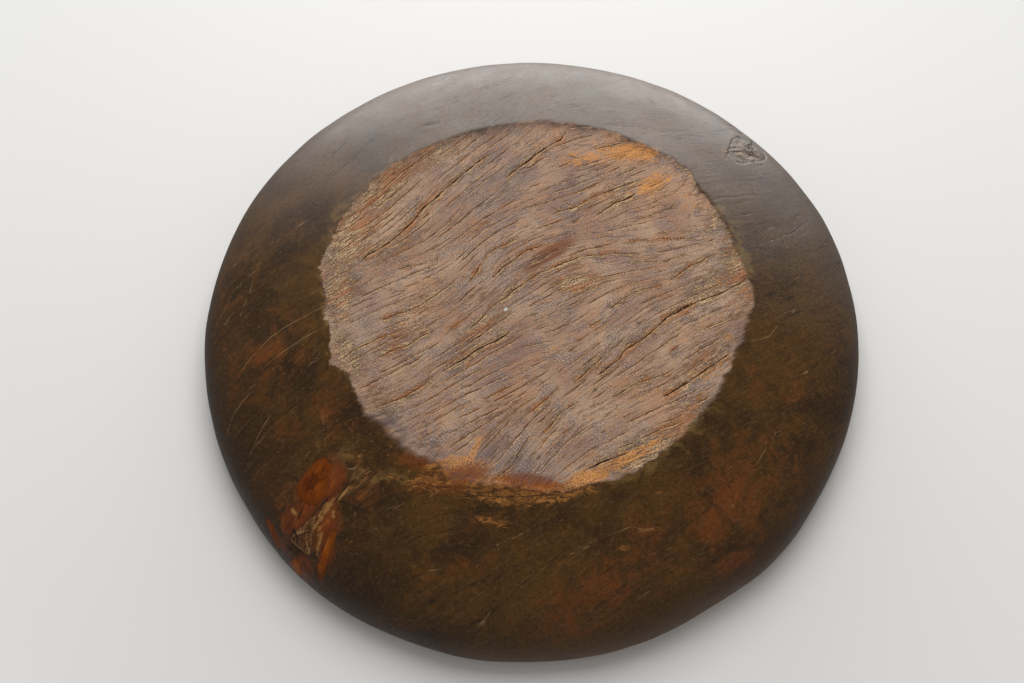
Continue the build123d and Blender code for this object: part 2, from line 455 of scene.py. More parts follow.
# Share of the way up the wall at a map distance: 0 at the wall's foot there, 1 at the lip
def wallShareAt(angle, reach):
    foot = footEdge(angle)
    return (reach - foot) / (mapEnd - foot)


# Slow tool waves of the wall, mm outwards: two soft noises that start at the base's edge
def wallWaves(right, up, beyondEdge):
    marks = twoWaves(right, up, noiseLayers["wallWaves"], *bowl["wallWaveLengths"])
    return bowl["wallWaves"] * marks * smoothStep(beyondEdge, 0, bowl["wallWavesFrom"])


# Fibre directions on a square lattice: the cracks' own directions, each weighted by its length and a
# bell curve of its distance, with a little of the mean direction where no crack is near
def fibreLattice():
    strands = [np.array(line, float) for line in wideCracks + middleCracks + fineCracks + wallCracks]
    step = np.concatenate([np.diff(line, axis=0) for line in strands])
    middle = np.concatenate([(line[1:] + line[:-1]) / 2 for line in strands])
    turn = math.radians(bowl["grainAngle"])
    reach = bowl["fibreReach"]
    places = np.arange(-reach, reach + 1, bowl["fibreSpacing"], dtype=float)
    right, up = np.meshgrid(places, places, indexing="ij")
    away = (right[..., None] - middle[:, 0]) ** 2 + (up[..., None] - middle[:, 1]) ** 2
    weight = np.exp(-away / bowl["fibreBlend"] ** 2)
    field = weight @ step + bowl["meanPull"] * np.array((math.cos(turn), math.sin(turn)))
    return places, field / np.linalg.norm(field, axis=-1, keepdims=True)


latticePlaces, latticeFibres = fibreLattice()


# Direction of the fibres at any place: the four lattice corners around it, blended
def grainDirection(right, up):
    spacing, first = bowl["fibreSpacing"], latticePlaces[0]
    last = len(latticePlaces) - 1.001      # just short of the last corner
    column = np.clip((right - first) / spacing, 0, last)
    row = np.clip((up - first) / spacing, 0, last)
    i, j = column.astype(int), row.astype(int)
    u, v = (column - i)[..., None], (row - j)[..., None]
    low = latticeFibres[i, j] * (1 - u) + latticeFibres[i + 1, j] * u
    high = latticeFibres[i, j + 1] * (1 - u) + latticeFibres[i + 1, j + 1] * u
    field = low * (1 - v) + high * v
    return field[..., 0], field[..., 1]


# Across the grain: each place is walked along its fibre to the line across the middle of the base,
# and where it lands there is its number, so level lines run along the fibres
def acrossGrain(right, up):
    turn = math.radians(bowl["grainAngle"])
    for left in range(bowl["walkSteps"], 0, -1):
        forward, sideways = grainDirection(right, up)
        gone = (right * math.cos(turn) + up * math.sin(turn)) / left
        ahead = forward * math.cos(turn) + sideways * math.sin(turn)
        pace = gone / np.maximum(ahead, bowl["leastForward"])
        right, up = right - pace * forward, up - pace * sideways
    return up * math.cos(turn) - right * math.sin(turn)


# Points every few mm along a line, by straight interpolation of its length
def evenPoints(line, spacing):
    line = np.asarray(line, float)
    run = runLength(line)
    even = np.arange(0, run[-1] + spacing, spacing)
    return np.stack([np.interp(even, run, line[:, 0]), np.interp(even, run, line[:, 1])], 1)


# Small checks: from seeded places, each walks a few strides along the fibres, the longest first; one
# that would come too near another is left out
def growChecks():
    rule = seededChecks
    draw = np.random.default_rng(rule["seed"])
    radius = rule["reach"] * bowl["foot"] * np.sqrt(draw.random(rule["count"]))
    angle = draw.random(rule["count"]) * 2 * math.pi
    right, up = radius * np.cos(angle), radius * np.sin(angle)
    stride = np.sort(draw.uniform(*rule["stride"], rule["count"]))[::-1]
    walk = [np.stack([right, up], 1)]
    while len(walk) <= rule["steps"]:
        forward, sideways = grainDirection(right, up)
        right, up = right + stride * forward, up + stride * sideways
        walk.append(np.stack([right, up], 1))
    drawn = wideCracks + middleCracks + fineCracks
    taken = np.concatenate([evenPoints(line, rule["sampling"]) for line in drawn])
    checks = []
    for line in np.stack(walk, 1):
        points = evenPoints(line, rule["sampling"])
        gap = np.hypot(points[:, None, 0] - taken[:, 0], points[:, None, 1] - taken[:, 1]).min()
        if gap > rule["spacing"] and np.hypot(*points.T).max() < bowl["foot"] - rule["edgeMargin"]:
            checks.append((draw.uniform(*rule["width"]), draw.uniform(*rule["depth"]), rule["wear"], line))
            taken = np.concatenate([taken, points])
    return checks


# Nearest crack: signed distance to its line, its width, its depth there and the wear beside it, a bell
# curve. All taper to nothing at the ends, and the width fades a few mm away
def crackField(right, up, cracks):
    rule = crackShape
    offset = np.full(right.shape, rule["farAway"])
    width, depth, worn = np.zeros((3, *right.shape))
    spot = right / rule["wanderLength"], up / rule["wanderLength"]
    wavyRight = right + rule["wander"] * softNoise(*spot, noiseLayers["wanderRight"])
    wavyUp = up + rule["wander"] * softNoise(*spot, noiseLayers["wanderUp"])
    wavy = np.stack([wavyRight, wavyUp], 1)
    leastMargin, wearMargin = rule["boxMargin"]
    meanSwell, swellSwing = rule["swell"]
    for halfWidth, deep, wearReach, line in cracks:
        line = np.asarray(line, float)
        start, step = line[:-1], np.diff(line, axis=0)
        length = np.hypot(*step.T)
        run = runLength(line)
        margin = leastMargin + wearMargin * wearReach
        inBox = ((wavy > line.min(0) - margin) & (wavy < line.max(0) + margin)).all(1)
        near = np.flatnonzero(inBox)
        away = wavy[near, None] - start
        share = np.clip((away * step).sum(-1) / length ** 2, 0, 1)
        miss = away - share[..., None] * step
        gap = np.hypot(miss[..., 0], miss[..., 1])
        best = gap.argmin(1)
        pick = np.arange(len(near)), best
        side = step[best, 0] * away[pick][:, 1] - step[best, 1] * away[pick][:, 0]
        gone = run[best] + share[pick] * length[best]
        toEnd = np.minimum(gone, run[-1] - gone)
        taper = np.clip(toEnd / rule["taperLength"], 0, 1) ** rule["taperPower"]
        uneven = softNoise(gone / rule["swellLength"], gone * 0 + line[0, 0], noiseLayers["swell"])
        taper = taper * (meanSwell + swellSwing * uneven)
        wall = np.clip(1 - gap[pick] / (halfWidth + rule["shoulder"]), 0, 1)
        depth[near] = np.maximum(depth[near], deep * taper * wall)
        worn[near] = np.maximum(worn[near], taper * np.exp(-(gap[pick] / wearReach) ** 2))
        closer = gap[pick] < np.abs(offset[near])
        offset[near[closer]] = (np.sign(side) * gap[pick])[closer]
        fade = np.clip(1 - (gap[pick] - halfWidth) / rule["widthFade"], 0, 1)
        width[near[closer]] = (halfWidth * taper * fade)[closer]
    return offset, width, depth, worn


# Soft patches: for each, a bell curve stretched along its angle, and the strongest one counts
def patchField(right, up, patches):
    field = np.zeros(right.shape)
    for middleRight, middleUp, halfLength, halfWidth, strength, *angle in patches:
        turn = math.radians(angle[0] if angle else bowl["grainAngle"])
        x, y = right - middleRight, up - middleUp
        along = (x * math.cos(turn) + y * math.sin(turn)) / halfLength
        across = (y * math.cos(turn) - x * math.sin(turn)) / halfWidth
        field = np.maximum(field, strength * np.exp(-along ** 2 - across ** 2))
    return field


# Egg outline: a wide circle up the wall and a narrow one down it, a given length from end to end
def eggCircles(length, wide, narrow, rise=0.0):
    return [(0, rise + length / 2 - wide, wide), (0, rise + narrow - length / 2, narrow)]


# Knots: azimuth from +X, height on the wall and turn as in the solids; circles (x, y, radius) bound
# each outline, with x along the rim and y up the wall
knots = dict(
    side_knot_core=dict(
        azimuth=-2.8, height=40, turn=6, circles=[(9, 13, 3), (-9, 13, 3), (0, -13, 3)],
        crown=0.2, lumps=0.4, greyed=0.0, glow=0.5, slot="end_grain_knot",
    ),
    side_knot_upper_lobe=dict(
        azimuth=2, height=22, turn=20, circles=eggCircles(40, 14, 10),
        crown=0.6, lumps=0.5, greyed=0.0, glow=0.1, slot="amber_knot",
    ),
    side_knot_right_lobe=dict(
        azimuth=-7.8, height=44, turn=8, circles=eggCircles(46, 5, 4),
        crown=0.5, lumps=0.4, greyed=0.0, glow=0.7, slot="amber_knot",
    ),
    side_knot_rim_lobe=dict(
        azimuth=-3.5, height=75, turn=-3, circles=eggCircles(30, 8.5, 6),
        crown=0.6, lumps=0.4, greyed=0.0, glow=1.0, slot="amber_knot",
    ),
    side_knot_left_lobe=dict(
        azimuth=2.6, height=64, turn=50, circles=eggCircles(30, 7, 4.5),
        crown=0.4, lumps=0.4, greyed=0.0, glow=0.3, slot="amber_knot",
    ),
    side_knot_bark_seam=dict(
        azimuth=-5.5, height=14, turn=-18, circles=eggCircles(44, 4, 2.5),
        crown=0.4, lumps=0.6, greyed=0.0, glow=0.5, slot="bark",
    ),
    rim_knot_bark_collar=dict(
        azimuth=185.5, height=30, turn=10, circles=eggCircles(48, 19, 14),
        crown=0.3, lumps=1.0, greyed=1.0, glow=0.5, slot="bark",
    ),
    rim_knot_eye=dict(
        azimuth=185.5, height=30, turn=10, circles=eggCircles(20, 8, 6.5, 5),
        crown=0.8, lumps=0.5, greyed=1.0, glow=0.5, slot="grey_knot",
    ),
)


# Where a knot sits: its angle in the picture, how far up the wall's slope, and the wall's radius there
def knotPlace(knot):
    angle = math.radians(bowl["pictureTurn"] - knot["azimuth"])
    run = float(np.interp(knot["height"], plainWall[1], wallRun))
    radius = float(np.interp(knot["height"], plainWall[1], plainWall[0]))
    return angle, run, radius


# Distance outside a knot's outline: to the line between its first and last circle, less the radius there
def knotGap(knot, angle, run):
    middle, middleRun, radius = knotPlace(knot)
    turn = math.radians(knot["turn"])
    x = -((angle - middle + math.pi) % (2 * math.pi) - math.pi) * radius
    y = run - middleRun
    x, y = x * math.cos(turn) + y * math.sin(turn), y * math.cos(turn) - x * math.sin(turn)
    circles = np.array(knot["circles"], float)
    first, last = circles[:-1].mean(0), circles[-1]
    firstRadius = first[2] + np.ptp(circles[:-1, 0]) / 2
    axis = last[:2] - first[:2]
    share = np.clip(((x - first[0]) * axis[0] + (y - first[1]) * axis[1]) / (axis @ axis), 0, 1)
    away = np.hypot(x - first[0] - share * axis[0], y - first[1] - share * axis[1])
    return away - (firstRadius + share * (last[2] - firstRadius))


# Mesh from points in mm and faces, smooth, at the origin
def makePiece(name, points, faces, material):
    mesh = bpy.data.meshes.new(name)
    mesh.from_pydata(np.asarray(points) * mm, [], faces)
    mesh.shade_smooth()
    mesh.materials.append(material)
    piece = bpy.data.objects.new(name, mesh)
    bpy.context.scene.collection.objects.link(piece)
    return piece


# Three numbers for each point of a piece
def putAttribute(piece, name, values):
    layer = piece.data.attributes.new(name, "FLOAT_VECTOR", "POINT")
    layer.data.foreach_set("vector", np.asarray(values, np.float32).ravel())


# Quads between rings of points: row k to row k + 1, point j to point j + 1, closed round the ring
def ringQuads(rows):
    ahead = np.roll(rows, -1, axis=1)
    return np.stack([rows[:-1], rows[1:], ahead[1:], ahead[:-1]], -1).reshape(-1, 4)


# Base grid: a square squeezed to a disc, x = s sqrt(1 - t^2/2), y = t sqrt(1 - s^2/2), turned to the
# grain. Gives each point's angle and share of the radius, the faces, and the points round the edge
def baseGrid():
    nAlong, nAcross = bowl["gridAlong"], bowl["gridAcross"]
    s, t = np.meshgrid(np.linspace(-1, 1, nAlong), np.linspace(-1, 1, nAcross), indexing="ij")
    x, y = s * np.sqrt(1 - t * t / 2), t * np.sqrt(1 - s * s / 2)
    angle = np.arctan2(y, x) + math.radians(bowl["grainAngle"])
    index = np.arange(nAlong * nAcross).reshape(nAlong, nAcross)
    corners = index[:-1, :-1], index[1:, :-1], index[1:, 1:], index[:-1, 1:]
    faces = np.stack(corners, -1).reshape(-1, 4)
    ring = np.concatenate([index[:-1, 0], index[-1, :-1], index[:0:-1, -1], index[0, :0:-1]])
    return angle.ravel(), np.hypot(x, y).ravel(), faces, ring


# Outside: the base's disc, rings up the wall that lie closer near the foot, and a half circle over the
# lip. Each point has its place, normal, angle, map distance and share of the way over the lip
def outerShell(baseAngle, baseShare, ringAngle):
    baseReach = baseShare * footEdge(baseAngle)
    baseRight, baseUp = baseReach * np.cos(baseAngle), baseReach * np.sin(baseAngle)
    basePoints = baseRight[:, None] * photoRight + baseUp[:, None] * photoUp
    baseNormals = np.tile(-bowlUp, (len(basePoints), 1))

    rise = np.linspace(0, 1, bowl["wallRows"] + 1)[1:, None]
    even, growing = bowl["rowSpread"]
    wallShare = np.broadcast_to(rise * (even + growing * rise), (bowl["wallRows"], len(ringAngle)))
    wallAngle = np.broadcast_to(ringAngle, wallShare.shape)
    wallPoints, wallNormals = wallSurface(wallAngle, wallShare)
    ringFoot = footEdge(ringAngle)
    wallReach = ringFoot + wallShare * (mapEnd - ringFoot)

    lipTurn = np.linspace(0, math.pi, bowl["lipRows"] + 1)[1:, None]
    radial = radialAt(ringAngle)
    lipNormals = np.cos(lipTurn)[..., None] * radial + (np.sin(lipTurn) + 0 * ringAngle)[..., None] * bowlUp
    lipMiddle = (rimEdge(ringAngle) - bowl["lip"])[:, None] * radial
    lipMiddle = lipMiddle + (bowl["height"] - bowl["lip"]) * bowlUp
    lipPoints = lipMiddle + bowl["lip"] * lipNormals
    lipReach = mapEnd + bowl["lip"] * lipTurn + 0 * ringAngle
    lipShare = np.broadcast_to(lipTurn / math.pi, lipReach.shape)
    return types.SimpleNamespace(
        points=np.concatenate([basePoints, wallPoints.reshape(-1, 3), lipPoints.reshape(-1, 3)]),
        normals=np.concatenate([baseNormals, wallNormals.reshape(-1, 3), lipNormals.reshape(-1, 3)]),
        angle=np.concatenate([baseAngle, wallAngle.ravel(), np.tile(ringAngle, bowl["lipRows"])]),
        reach=np.concatenate([baseReach, wallReach.ravel(), lipReach.ravel()]),
        lipSide=np.concatenate([np.zeros(len(basePoints) + wallShare.size), lipShare.ravel()]),
    )


# Hollow: rings down the cubic section and in across the flat floor, with shallow gouge waves
def hollowShell(ringAngle):
    down = np.linspace(0, 1, bowl["hollowRows"] + 1)[1:, None]
    innerRim = rimEdge(ringAngle) - 2 * bowl["lip"]
    lipHeight = bowl["height"] - bowl["lip"]
    floorEdge, floorHeight = bowl["hollowFloor"], bowl["floorThickness"]
    corners = (
        (innerRim, lipHeight),
        (innerRim, lipHeight - bowl["hollowUpright"]),
        (floorEdge + bowl["hollowFlare"], floorHeight),
        (floorEdge, floorHeight),
    )
    curveRadius, curveHeight = bezier(down, corners)
    run, drop = bezierSlope(down, corners)
    size = np.hypot(run, drop)
    floorShare = np.linspace(1, 0, bowl["floorRows"] + 1)[1:-1, None]
    floorRadius = floorShare * floorEdge + 0 * innerRim
    radius = np.concatenate([curveRadius, floorRadius])
    height = np.concatenate([curveHeight + 0 * innerRim, floorHeight + 0 * floorRadius])
    normalOut = np.concatenate([drop / size + 0 * innerRim, 0 * floorRadius])
    normalUp = np.concatenate([-run / size + 0 * innerRim, 1 + 0 * floorRadius])
    radial = radialAt(ringAngle)
    angle = np.broadcast_to(ringAngle, radius.shape)
    points = radius[..., None] * radial + height[..., None] * bowlUp
    normals = normalOut[..., None] * radial + normalUp[..., None] * bowlUp
    right, up = (radius * np.cos(angle)).ravel(), (radius * np.sin(angle)).ravel()
    gouge = twoWaves(right, up, noiseLayers["hollowWaves"], *bowl["hollowWaveLengths"])
    points = points.reshape(-1, 3) - bowl["hollowWaves"] * gouge[:, None] * normals.reshape(-1, 3)
    return types.SimpleNamespace(points=points, radius=radius, height=height, angle=angle)


# Relief of the underside, mm inwards: worn waves and ridges on the base, tool waves on the wall, cracks,
# scars and knot pockets. Also gives the marks that the finish reads, and the count of cracks
def undersideRelief(shell):
    right, up = shell.reach * np.cos(shell.angle), shell.reach * np.sin(shell.angle)
    edgeGap = baseEdge(shell.angle) - shell.reach
    crackLists = dict(wide=wideCracks, middle=middleCracks, fine=fineCracks, wall=wallCracks)
    cracks = [(*crackSizes[size], line) for size, lines in crackLists.items() for line in lines]
    cracks += growChecks()
    crackOffset, crackWidth, crackDepth, crackWear = crackField(right, up, cracks)
    scratchLines = [(*crackSizes["scratch"], line) for line in scratches]
    scratchOffset, scratchWidth = crackField(right, up, scratchLines)[:2]
    scarLines = [(*crackSizes["scar"], line) for line in scars]
    scarOffset, scarWidth, scarDepth = crackField(right, up, scarLines)[:3]

    turn = math.radians(bowl["grainAngle"])
    along = right * math.cos(turn) + up * math.sin(turn)
    across = acrossGrain(right, up)
    waves = twoWaves(right, up, noiseLayers["baseWaves"], *bowl["baseWaveLengths"])
    longAlong, longAcross = bowl["ridgeLengths"]
    shortAlong, shortAcross = bowl["shortRidgeLengths"]
    layer = noiseLayers["ridges"]
    ridges = softNoise(along / longAlong, across / longAcross, layer)
    ridges = ridges + bowl["shortRidges"] * softNoise(along / shortAlong, across / shortAcross, layer + 1)
    meanWave, waveSwing = bowl["baseWaveRule"]
    meanRidge, ridgeSwing = bowl["baseRidgeRule"]
    baseRelief = bowl["baseSink"] + bowl["baseWaves"] * (meanWave + waveSwing * waves)
    baseRelief = baseRelief + bowl["baseRidges"] * (meanRidge + ridgeSwing * ridges)
    baseRelief = baseRelief + bowl["wearDepth"] * crackWear
    onBase = smoothStep(edgeGap, 0, bowl["edgeBlend"])
    gaps = [knotGap(knot, shell.angle, shell.reach - bowl["foot"]) for knot in knots.values()]
    knotEdge = np.min(gaps, axis=0)
    pocket = bowl["pocketDepth"] * smoothStep(-knotEdge, *bowl["pocketEdge"]) * (shell.lipSide == 0)
    relief = onBase * baseRelief - (1 - onBase) * wallWaves(right, up, -edgeGap)
    relief = relief + crackDepth + scarDepth + pocket

    patchLists = dict(
        rust=rustPatches, amberMark=amberPatches, punk=punkPatches, gold=goldPatches, stain=stainPatches,
        fleck=flecks, softEdge=softEdges, darkMark=darkMarks, paleMark=paleMarks,
    )
    marks = {name: patchField(right, up, patches) for name, patches in patchLists.items()}
    marks.update(crackOffset=crackOffset, crackWidth=crackWidth, crackWear=crackWear)
    marks.update(scratchOffset=scratchOffset, scratchWidth=scratchWidth)
    marks.update(scarOffset=scarOffset, scarWidth=scarWidth, edgeGap=edgeGap, knotEdge=knotEdge)
    marks["inside"] = smoothStep(shell.lipSide, *bowl["insideFrom"])
    # Painted sheen, partly dust: a share that grows towards the picture's upper side, where the light falls
    marks["bloom"] = smoothStep(up + bowl["dustAndSheenLean"] * np.maximum(right, 0), *bowl["dustAndSheenReach"])
    # Painted shade darkens the lower left of the wall, and painted light lightens its bottom, where the
    # lamps leave it dark
    leftLean, downLean = bowl["paintedShadeLean"]
    dark = smoothStep(-leftLean * right - downLean * up, *bowl["paintedShadeReach"])
    warm = smoothStep(-up, *bowl["paintedLightDown"]) * smoothStep(right, *bowl["paintedLightRight"])
    marks["deepShade"] = dark - warm
    return relief, marks, len(cracks)


# Grain of every point, along and across the fibres, and its place with the bowl laid flat. The hollow's
# own slope length is laid flat, the lip is drawn in to meet it, and the fibres turn straight there
def grainPlaces(shell, hollow):
    run = np.hypot(np.diff(hollow.radius, axis=0), np.diff(hollow.height, axis=0))
    hollowReach = np.concatenate([np.cumsum(run[::-1], axis=0)[::-1], 0 * run[:1]])
    hollowReach = (hollowReach + hollow.radius[-1]).ravel()
    lipFold = (mapEnd - hollowReach.max() - bowl["lipSeam"]) / mapEnd
    outerReach = np.where(shell.lipSide > 0, mapEnd * (1 - lipFold * shell.lipSide), shell.reach)
    reach = np.concatenate([outerReach, hollowReach, [0]])
    angle = np.concatenate([shell.angle, hollow.angle.ravel(), [0]])
    right, up = reach * np.cos(angle), reach * np.sin(angle)
    turn = math.radians(bowl["grainAngle"])
    along = right * math.cos(turn) + up * math.sin(turn)
    straight = up * math.cos(turn) - right * math.sin(turn)
    toInside = np.concatenate([smoothStep(shell.lipSide, 0, 1), np.ones(len(reach) - len(shell.lipSide))])
    across = acrossGrain(right, up) * (1 - toInside) + straight * toInside
    return np.stack([along, across, 0 * along], 1), np.stack([right, up, 0 * up], 1)


# Faces round the wall and lip, three to each pair where the hollow has half as many points round, then
# down the hollow and in to its middle point, which is the last
def shellFaces(ring, nBase, nOuter, nPoints):
    outerRows = np.concatenate([ring[None], np.arange(nBase, nOuter).reshape(-1, len(ring))])
    hollowRows = np.arange(nOuter, nPoints - 1).reshape(-1, len(ring) // 2)
    fine, coarse, last = outerRows[-1], hollowRows[0], hollowRows[-1]
    fineMiddle, fineNext, coarseNext = fine[1::2], np.roll(fine[::2], -1), np.roll(coarse, -1)
    stitch = np.concatenate(
        [
            np.stack([fine[::2], coarse, fineMiddle], -1),
            np.stack([fineMiddle, coarse, coarseNext], -1),
            np.stack([fineMiddle, coarseNext, fineNext], -1),
        ]
    )
    cap = np.stack([last, np.full(len(last), nPoints - 1), np.roll(last, -1)], -1)
    quads = np.concatenate([ringQuads(outerRows), ringQuads(hollowRows)])
    return quads.tolist() + stitch.tolist() + cap.tolist()


# Bowl: the outside moved in by its relief, the hollow and the middle of its floor, in one mesh that
# carries the grain, the flat places and all marks
def makeBowl(material):
    baseAngle, baseShare, baseFaces, ring = baseGrid()
    ringAngle = baseAngle[ring]
    shell = outerShell(baseAngle, baseShare, ringAngle)
    hollow = hollowShell(ringAngle[::2])
    relief, marks, crackCount = undersideRelief(shell)
    outerPoints = shell.points - relief[:, None] * shell.normals
    floorMiddle = bowl["floorThickness"] * bowlUp[None]
    points = np.concatenate([outerPoints, hollow.points, floorMiddle])
    faces = baseFaces.tolist() + shellFaces(ring, len(baseAngle), len(outerPoints), len(points))
    piece = makePiece("bowlBody", points, faces, material)
    grain, flatPlace = grainPlaces(shell, hollow)
    putAttribute(piece, "grain", grain)
    putAttribute(piece, "flatPlace", flatPlace)
    nInner = len(points) - len(outerPoints)
    for attribute, names in bowlMarks.items():
        columns = [np.append(marks[name], np.full(nInner, hollowMarks.get(name, 0.0))) for name in names]
        putAttribute(piece, attribute, np.stack(columns, 1))
    print("bowl: %d points, %d cracks" % (len(points), crackCount))
    return piece


# Node sheet: a material with one shader, and short ways to add and wire its nodes
class NodeSheet:
    # New material: its own nodes go, and one shader feeds the output
    def __init__(self, name):
        self.material = bpy.data.materials.new(name)
        self.material.use_nodes = True
        self.tree = self.material.node_tree
        self.tree.nodes.clear()
        self.shader = self.put("ShaderNodeBsdfPrincipled")
        output = self.put("ShaderNodeOutputMaterial")
        self.tree.links.new(self.shader.outputs[0], output.inputs[0])

    # What a socket reads: a link from another socket, or a fixed value
    def wire(self, socket, value):
        if isinstance(value, bpy.types.NodeSocket):
            self.tree.links.new(value, socket)
        else:
            socket.default_value = value

    # One node with its settings, and its inputs by name or number
    def put(self, kind, inputs=None, **settings):
        node = self.tree.nodes.new(kind)
        for name, value in settings.items():
            setattr(node, name, value)
        for place, value in (inputs or {}).items():
            self.wire(node.inputs[place], value)
        return node

    # Three numbers that the mesh carries for each point
    def attribute(self, name):
        return self.put("ShaderNodeAttribute", attribute_name=name).outputs["Vector"]

    # The three numbers of a vector, apart
    def split(self, vector):
        return self.put("ShaderNodeSeparateXYZ", {0: vector}).outputs

    # One operation on numbers
    def calc(self, operation, *values):
        return self.put("ShaderNodeMath", dict(enumerate(values)), operation=operation).outputs[0]

    # Product of all the numbers
    def times(self, *values):
        return functools.reduce(functools.partial(self.calc, "MULTIPLY"), values)

    # Sum of all the numbers
    def plus(self, *values):
        return functools.reduce(functools.partial(self.calc, "ADD"), values)

    # First number less the second
    def minus(self, first, second):
        return self.calc("SUBTRACT", first, second)

    # Largest of all the numbers
    def largest(self, *values):
        return functools.reduce(functools.partial(self.calc, "MAXIMUM"), values)

    # Noise about its middle: the value less a half, times a strength
    def swing(self, field, strength):
        return self.times(self.minus(field, 0.5), strength)

    # Smooth step of a value between low and high, from start to end
    def between(self, value, low, high, start=0.0, end=1.0):
        inputs = {0: value, 1: low, 2: high, 3: start, 4: end}
        return self.put("ShaderNodeMapRange", inputs, interpolation_type="SMOOTHSTEP").outputs[0]

    # Vector times a scale, part by part
    def stretch(self, vector, scale):
        return self.put("ShaderNodeVectorMath", {0: vector, 1: scale}, operation="MULTIPLY").outputs[0]

    # Vector plus a move
    def shift(self, vector, move):
        return self.put("ShaderNodeVectorMath", {0: vector, 1: move}, operation="ADD").outputs[0]

    # Length of a vector
    def length(self, vector):
        return self.put("ShaderNodeVectorMath", {0: vector}, operation="LENGTH").outputs["Value"]

    # Vector turned about its third axis
    def turned(self, vector, degrees):
        inputs = {"Vector": vector, "Angle": math.radians(degrees)}
        return self.put("ShaderNodeVectorRotate", inputs, rotation_type="Z_AXIS").outputs[0]

    # Noise of a stretched place, moved aside where it must differ from another
    def pattern(self, place, scale, detail, rough, twist=0.0, move=None):
        place = self.stretch(place, scale)
        if move:
            place = self.shift(place, move)
        inputs = {"Vector": place, "Scale": 1.0, "Detail": detail, "Roughness": rough, "Distortion": twist}
        return self.put("ShaderNodeTexNoise", inputs).outputs[0]

    # First colour blended into the second by a share
    def mix(self, share, first, second):
        inputs = {0: share, 6: first, 7: second}
        return self.put("ShaderNodeMix", inputs, data_type="RGBA").outputs[2]

    # First number blended into the second by a share
    def blendValue(self, share, first, second):
        return self.put("ShaderNodeMix", {0: share, 2: first, 3: second}, data_type="FLOAT").outputs[0]

    # Colours laid over one another in turn: each has a value, the limits between which its share grows
    # from 0 to 1, and the strengths that this share is multiplied by
    def layers(self, under, look, washes):
        for colour, value, low, high, *strengths in washes:
            share = self.times(self.between(value, low, high), *strengths)
            under = self.mix(share, under, look[colour])
        return under

    # Thin lines: where a noise passes through its middle value
    def levelLines(self, field, thickness):
        away = self.calc("ABSOLUTE", self.minus(field, 0.5))
        return self.between(away, thickness, thickness * 0.25)

    # Distance from a drawn line in half widths of the line
    def lineReach(self, offset, width):
        return self.calc("DIVIDE", self.calc("ABSOLUTE", offset), self.largest(width, 0.05))

    # Shader: colour, roughness and fixed specular level, with a bump of the height, depth in mm
    def finish(self, colour, roughness, specular, height, depth):
        self.wire(self.shader.inputs["Base Color"], colour)
        self.wire(self.shader.inputs["Roughness"], roughness)
        self.shader.inputs["Specular IOR Level"].default_value = specular
        bump = self.put("ShaderNodeBump", {"Strength": 1.0, "Distance": depth * mm, "Height": height})
        self.wire(self.shader.inputs["Normal"], bump.outputs[0])
        return self.material


# Hardwood: colours of the base, its crumbly and punky wood, its cracks, the wall, its marks and the hollow
hardwood = dict(
    mauve=tone(148, 116, 100),
    tan=tone(184, 154, 129),
    greyMauve=tone(127, 113, 111),
    orangeTan=tone(180, 128, 86),
    sandDark=tone(96, 68, 52),
    sandPale=tone(208, 180, 152),
    redFibre=tone(112, 57, 28),
    crumbDark=tone(78, 50, 32),
    crumbRust=tone(166, 88, 40),
    crumbPale=tone(216, 182, 140),
    punkDark=tone(104, 56, 22),
    punkPale=tone(216, 152, 88),
    punkRust=tone(150, 82, 26),
    stain=tone(98, 90, 94),
    fleck=tone(240, 238, 234),
    crack=tone(32, 20, 12),
    checkBrown=tone(66, 38, 22),
    checkHalo=tone(170, 100, 50),
    litEdge=tone(218, 178, 130),
    edgeStain=tone(84, 68, 66),
    wallDark=tone(46, 26, 3),
    wallBrown=tone(84, 54, 13),
    wallPale=tone(128, 100, 66),
    # warm brown of the painted light on the wall's bottom
    wallPaintedLight=tone(100, 66, 24),
    wallTan=tone(128, 100, 54),
    rust=tone(120, 60, 18),
    # pale grey of the painted sheen, partly dust, on the upper wall
    bloom=tone(101, 93, 86),
    nick=tone(150, 106, 56),
    chip=tone(204, 150, 96),
    scratch=tone(164, 132, 92),
    scarDark=tone(76, 46, 18),
    scar=tone(184, 122, 58),
    amberDeep=tone(78, 34, 8),
    amber=tone(116, 53, 10),
    amberBright=tone(164, 88, 22),
    hollowDark=tone(62, 42, 25),
    hollowWarm=tone(86, 60, 37),
    hollowWorn=tone(116, 86, 58),
    baseRoughness=0.85,
    wallRoughness=(0.45, 0.56),
    hollowRoughness=(0.7, 0.9),
    specular=0.3,
    bumpDepth=1.0,
)

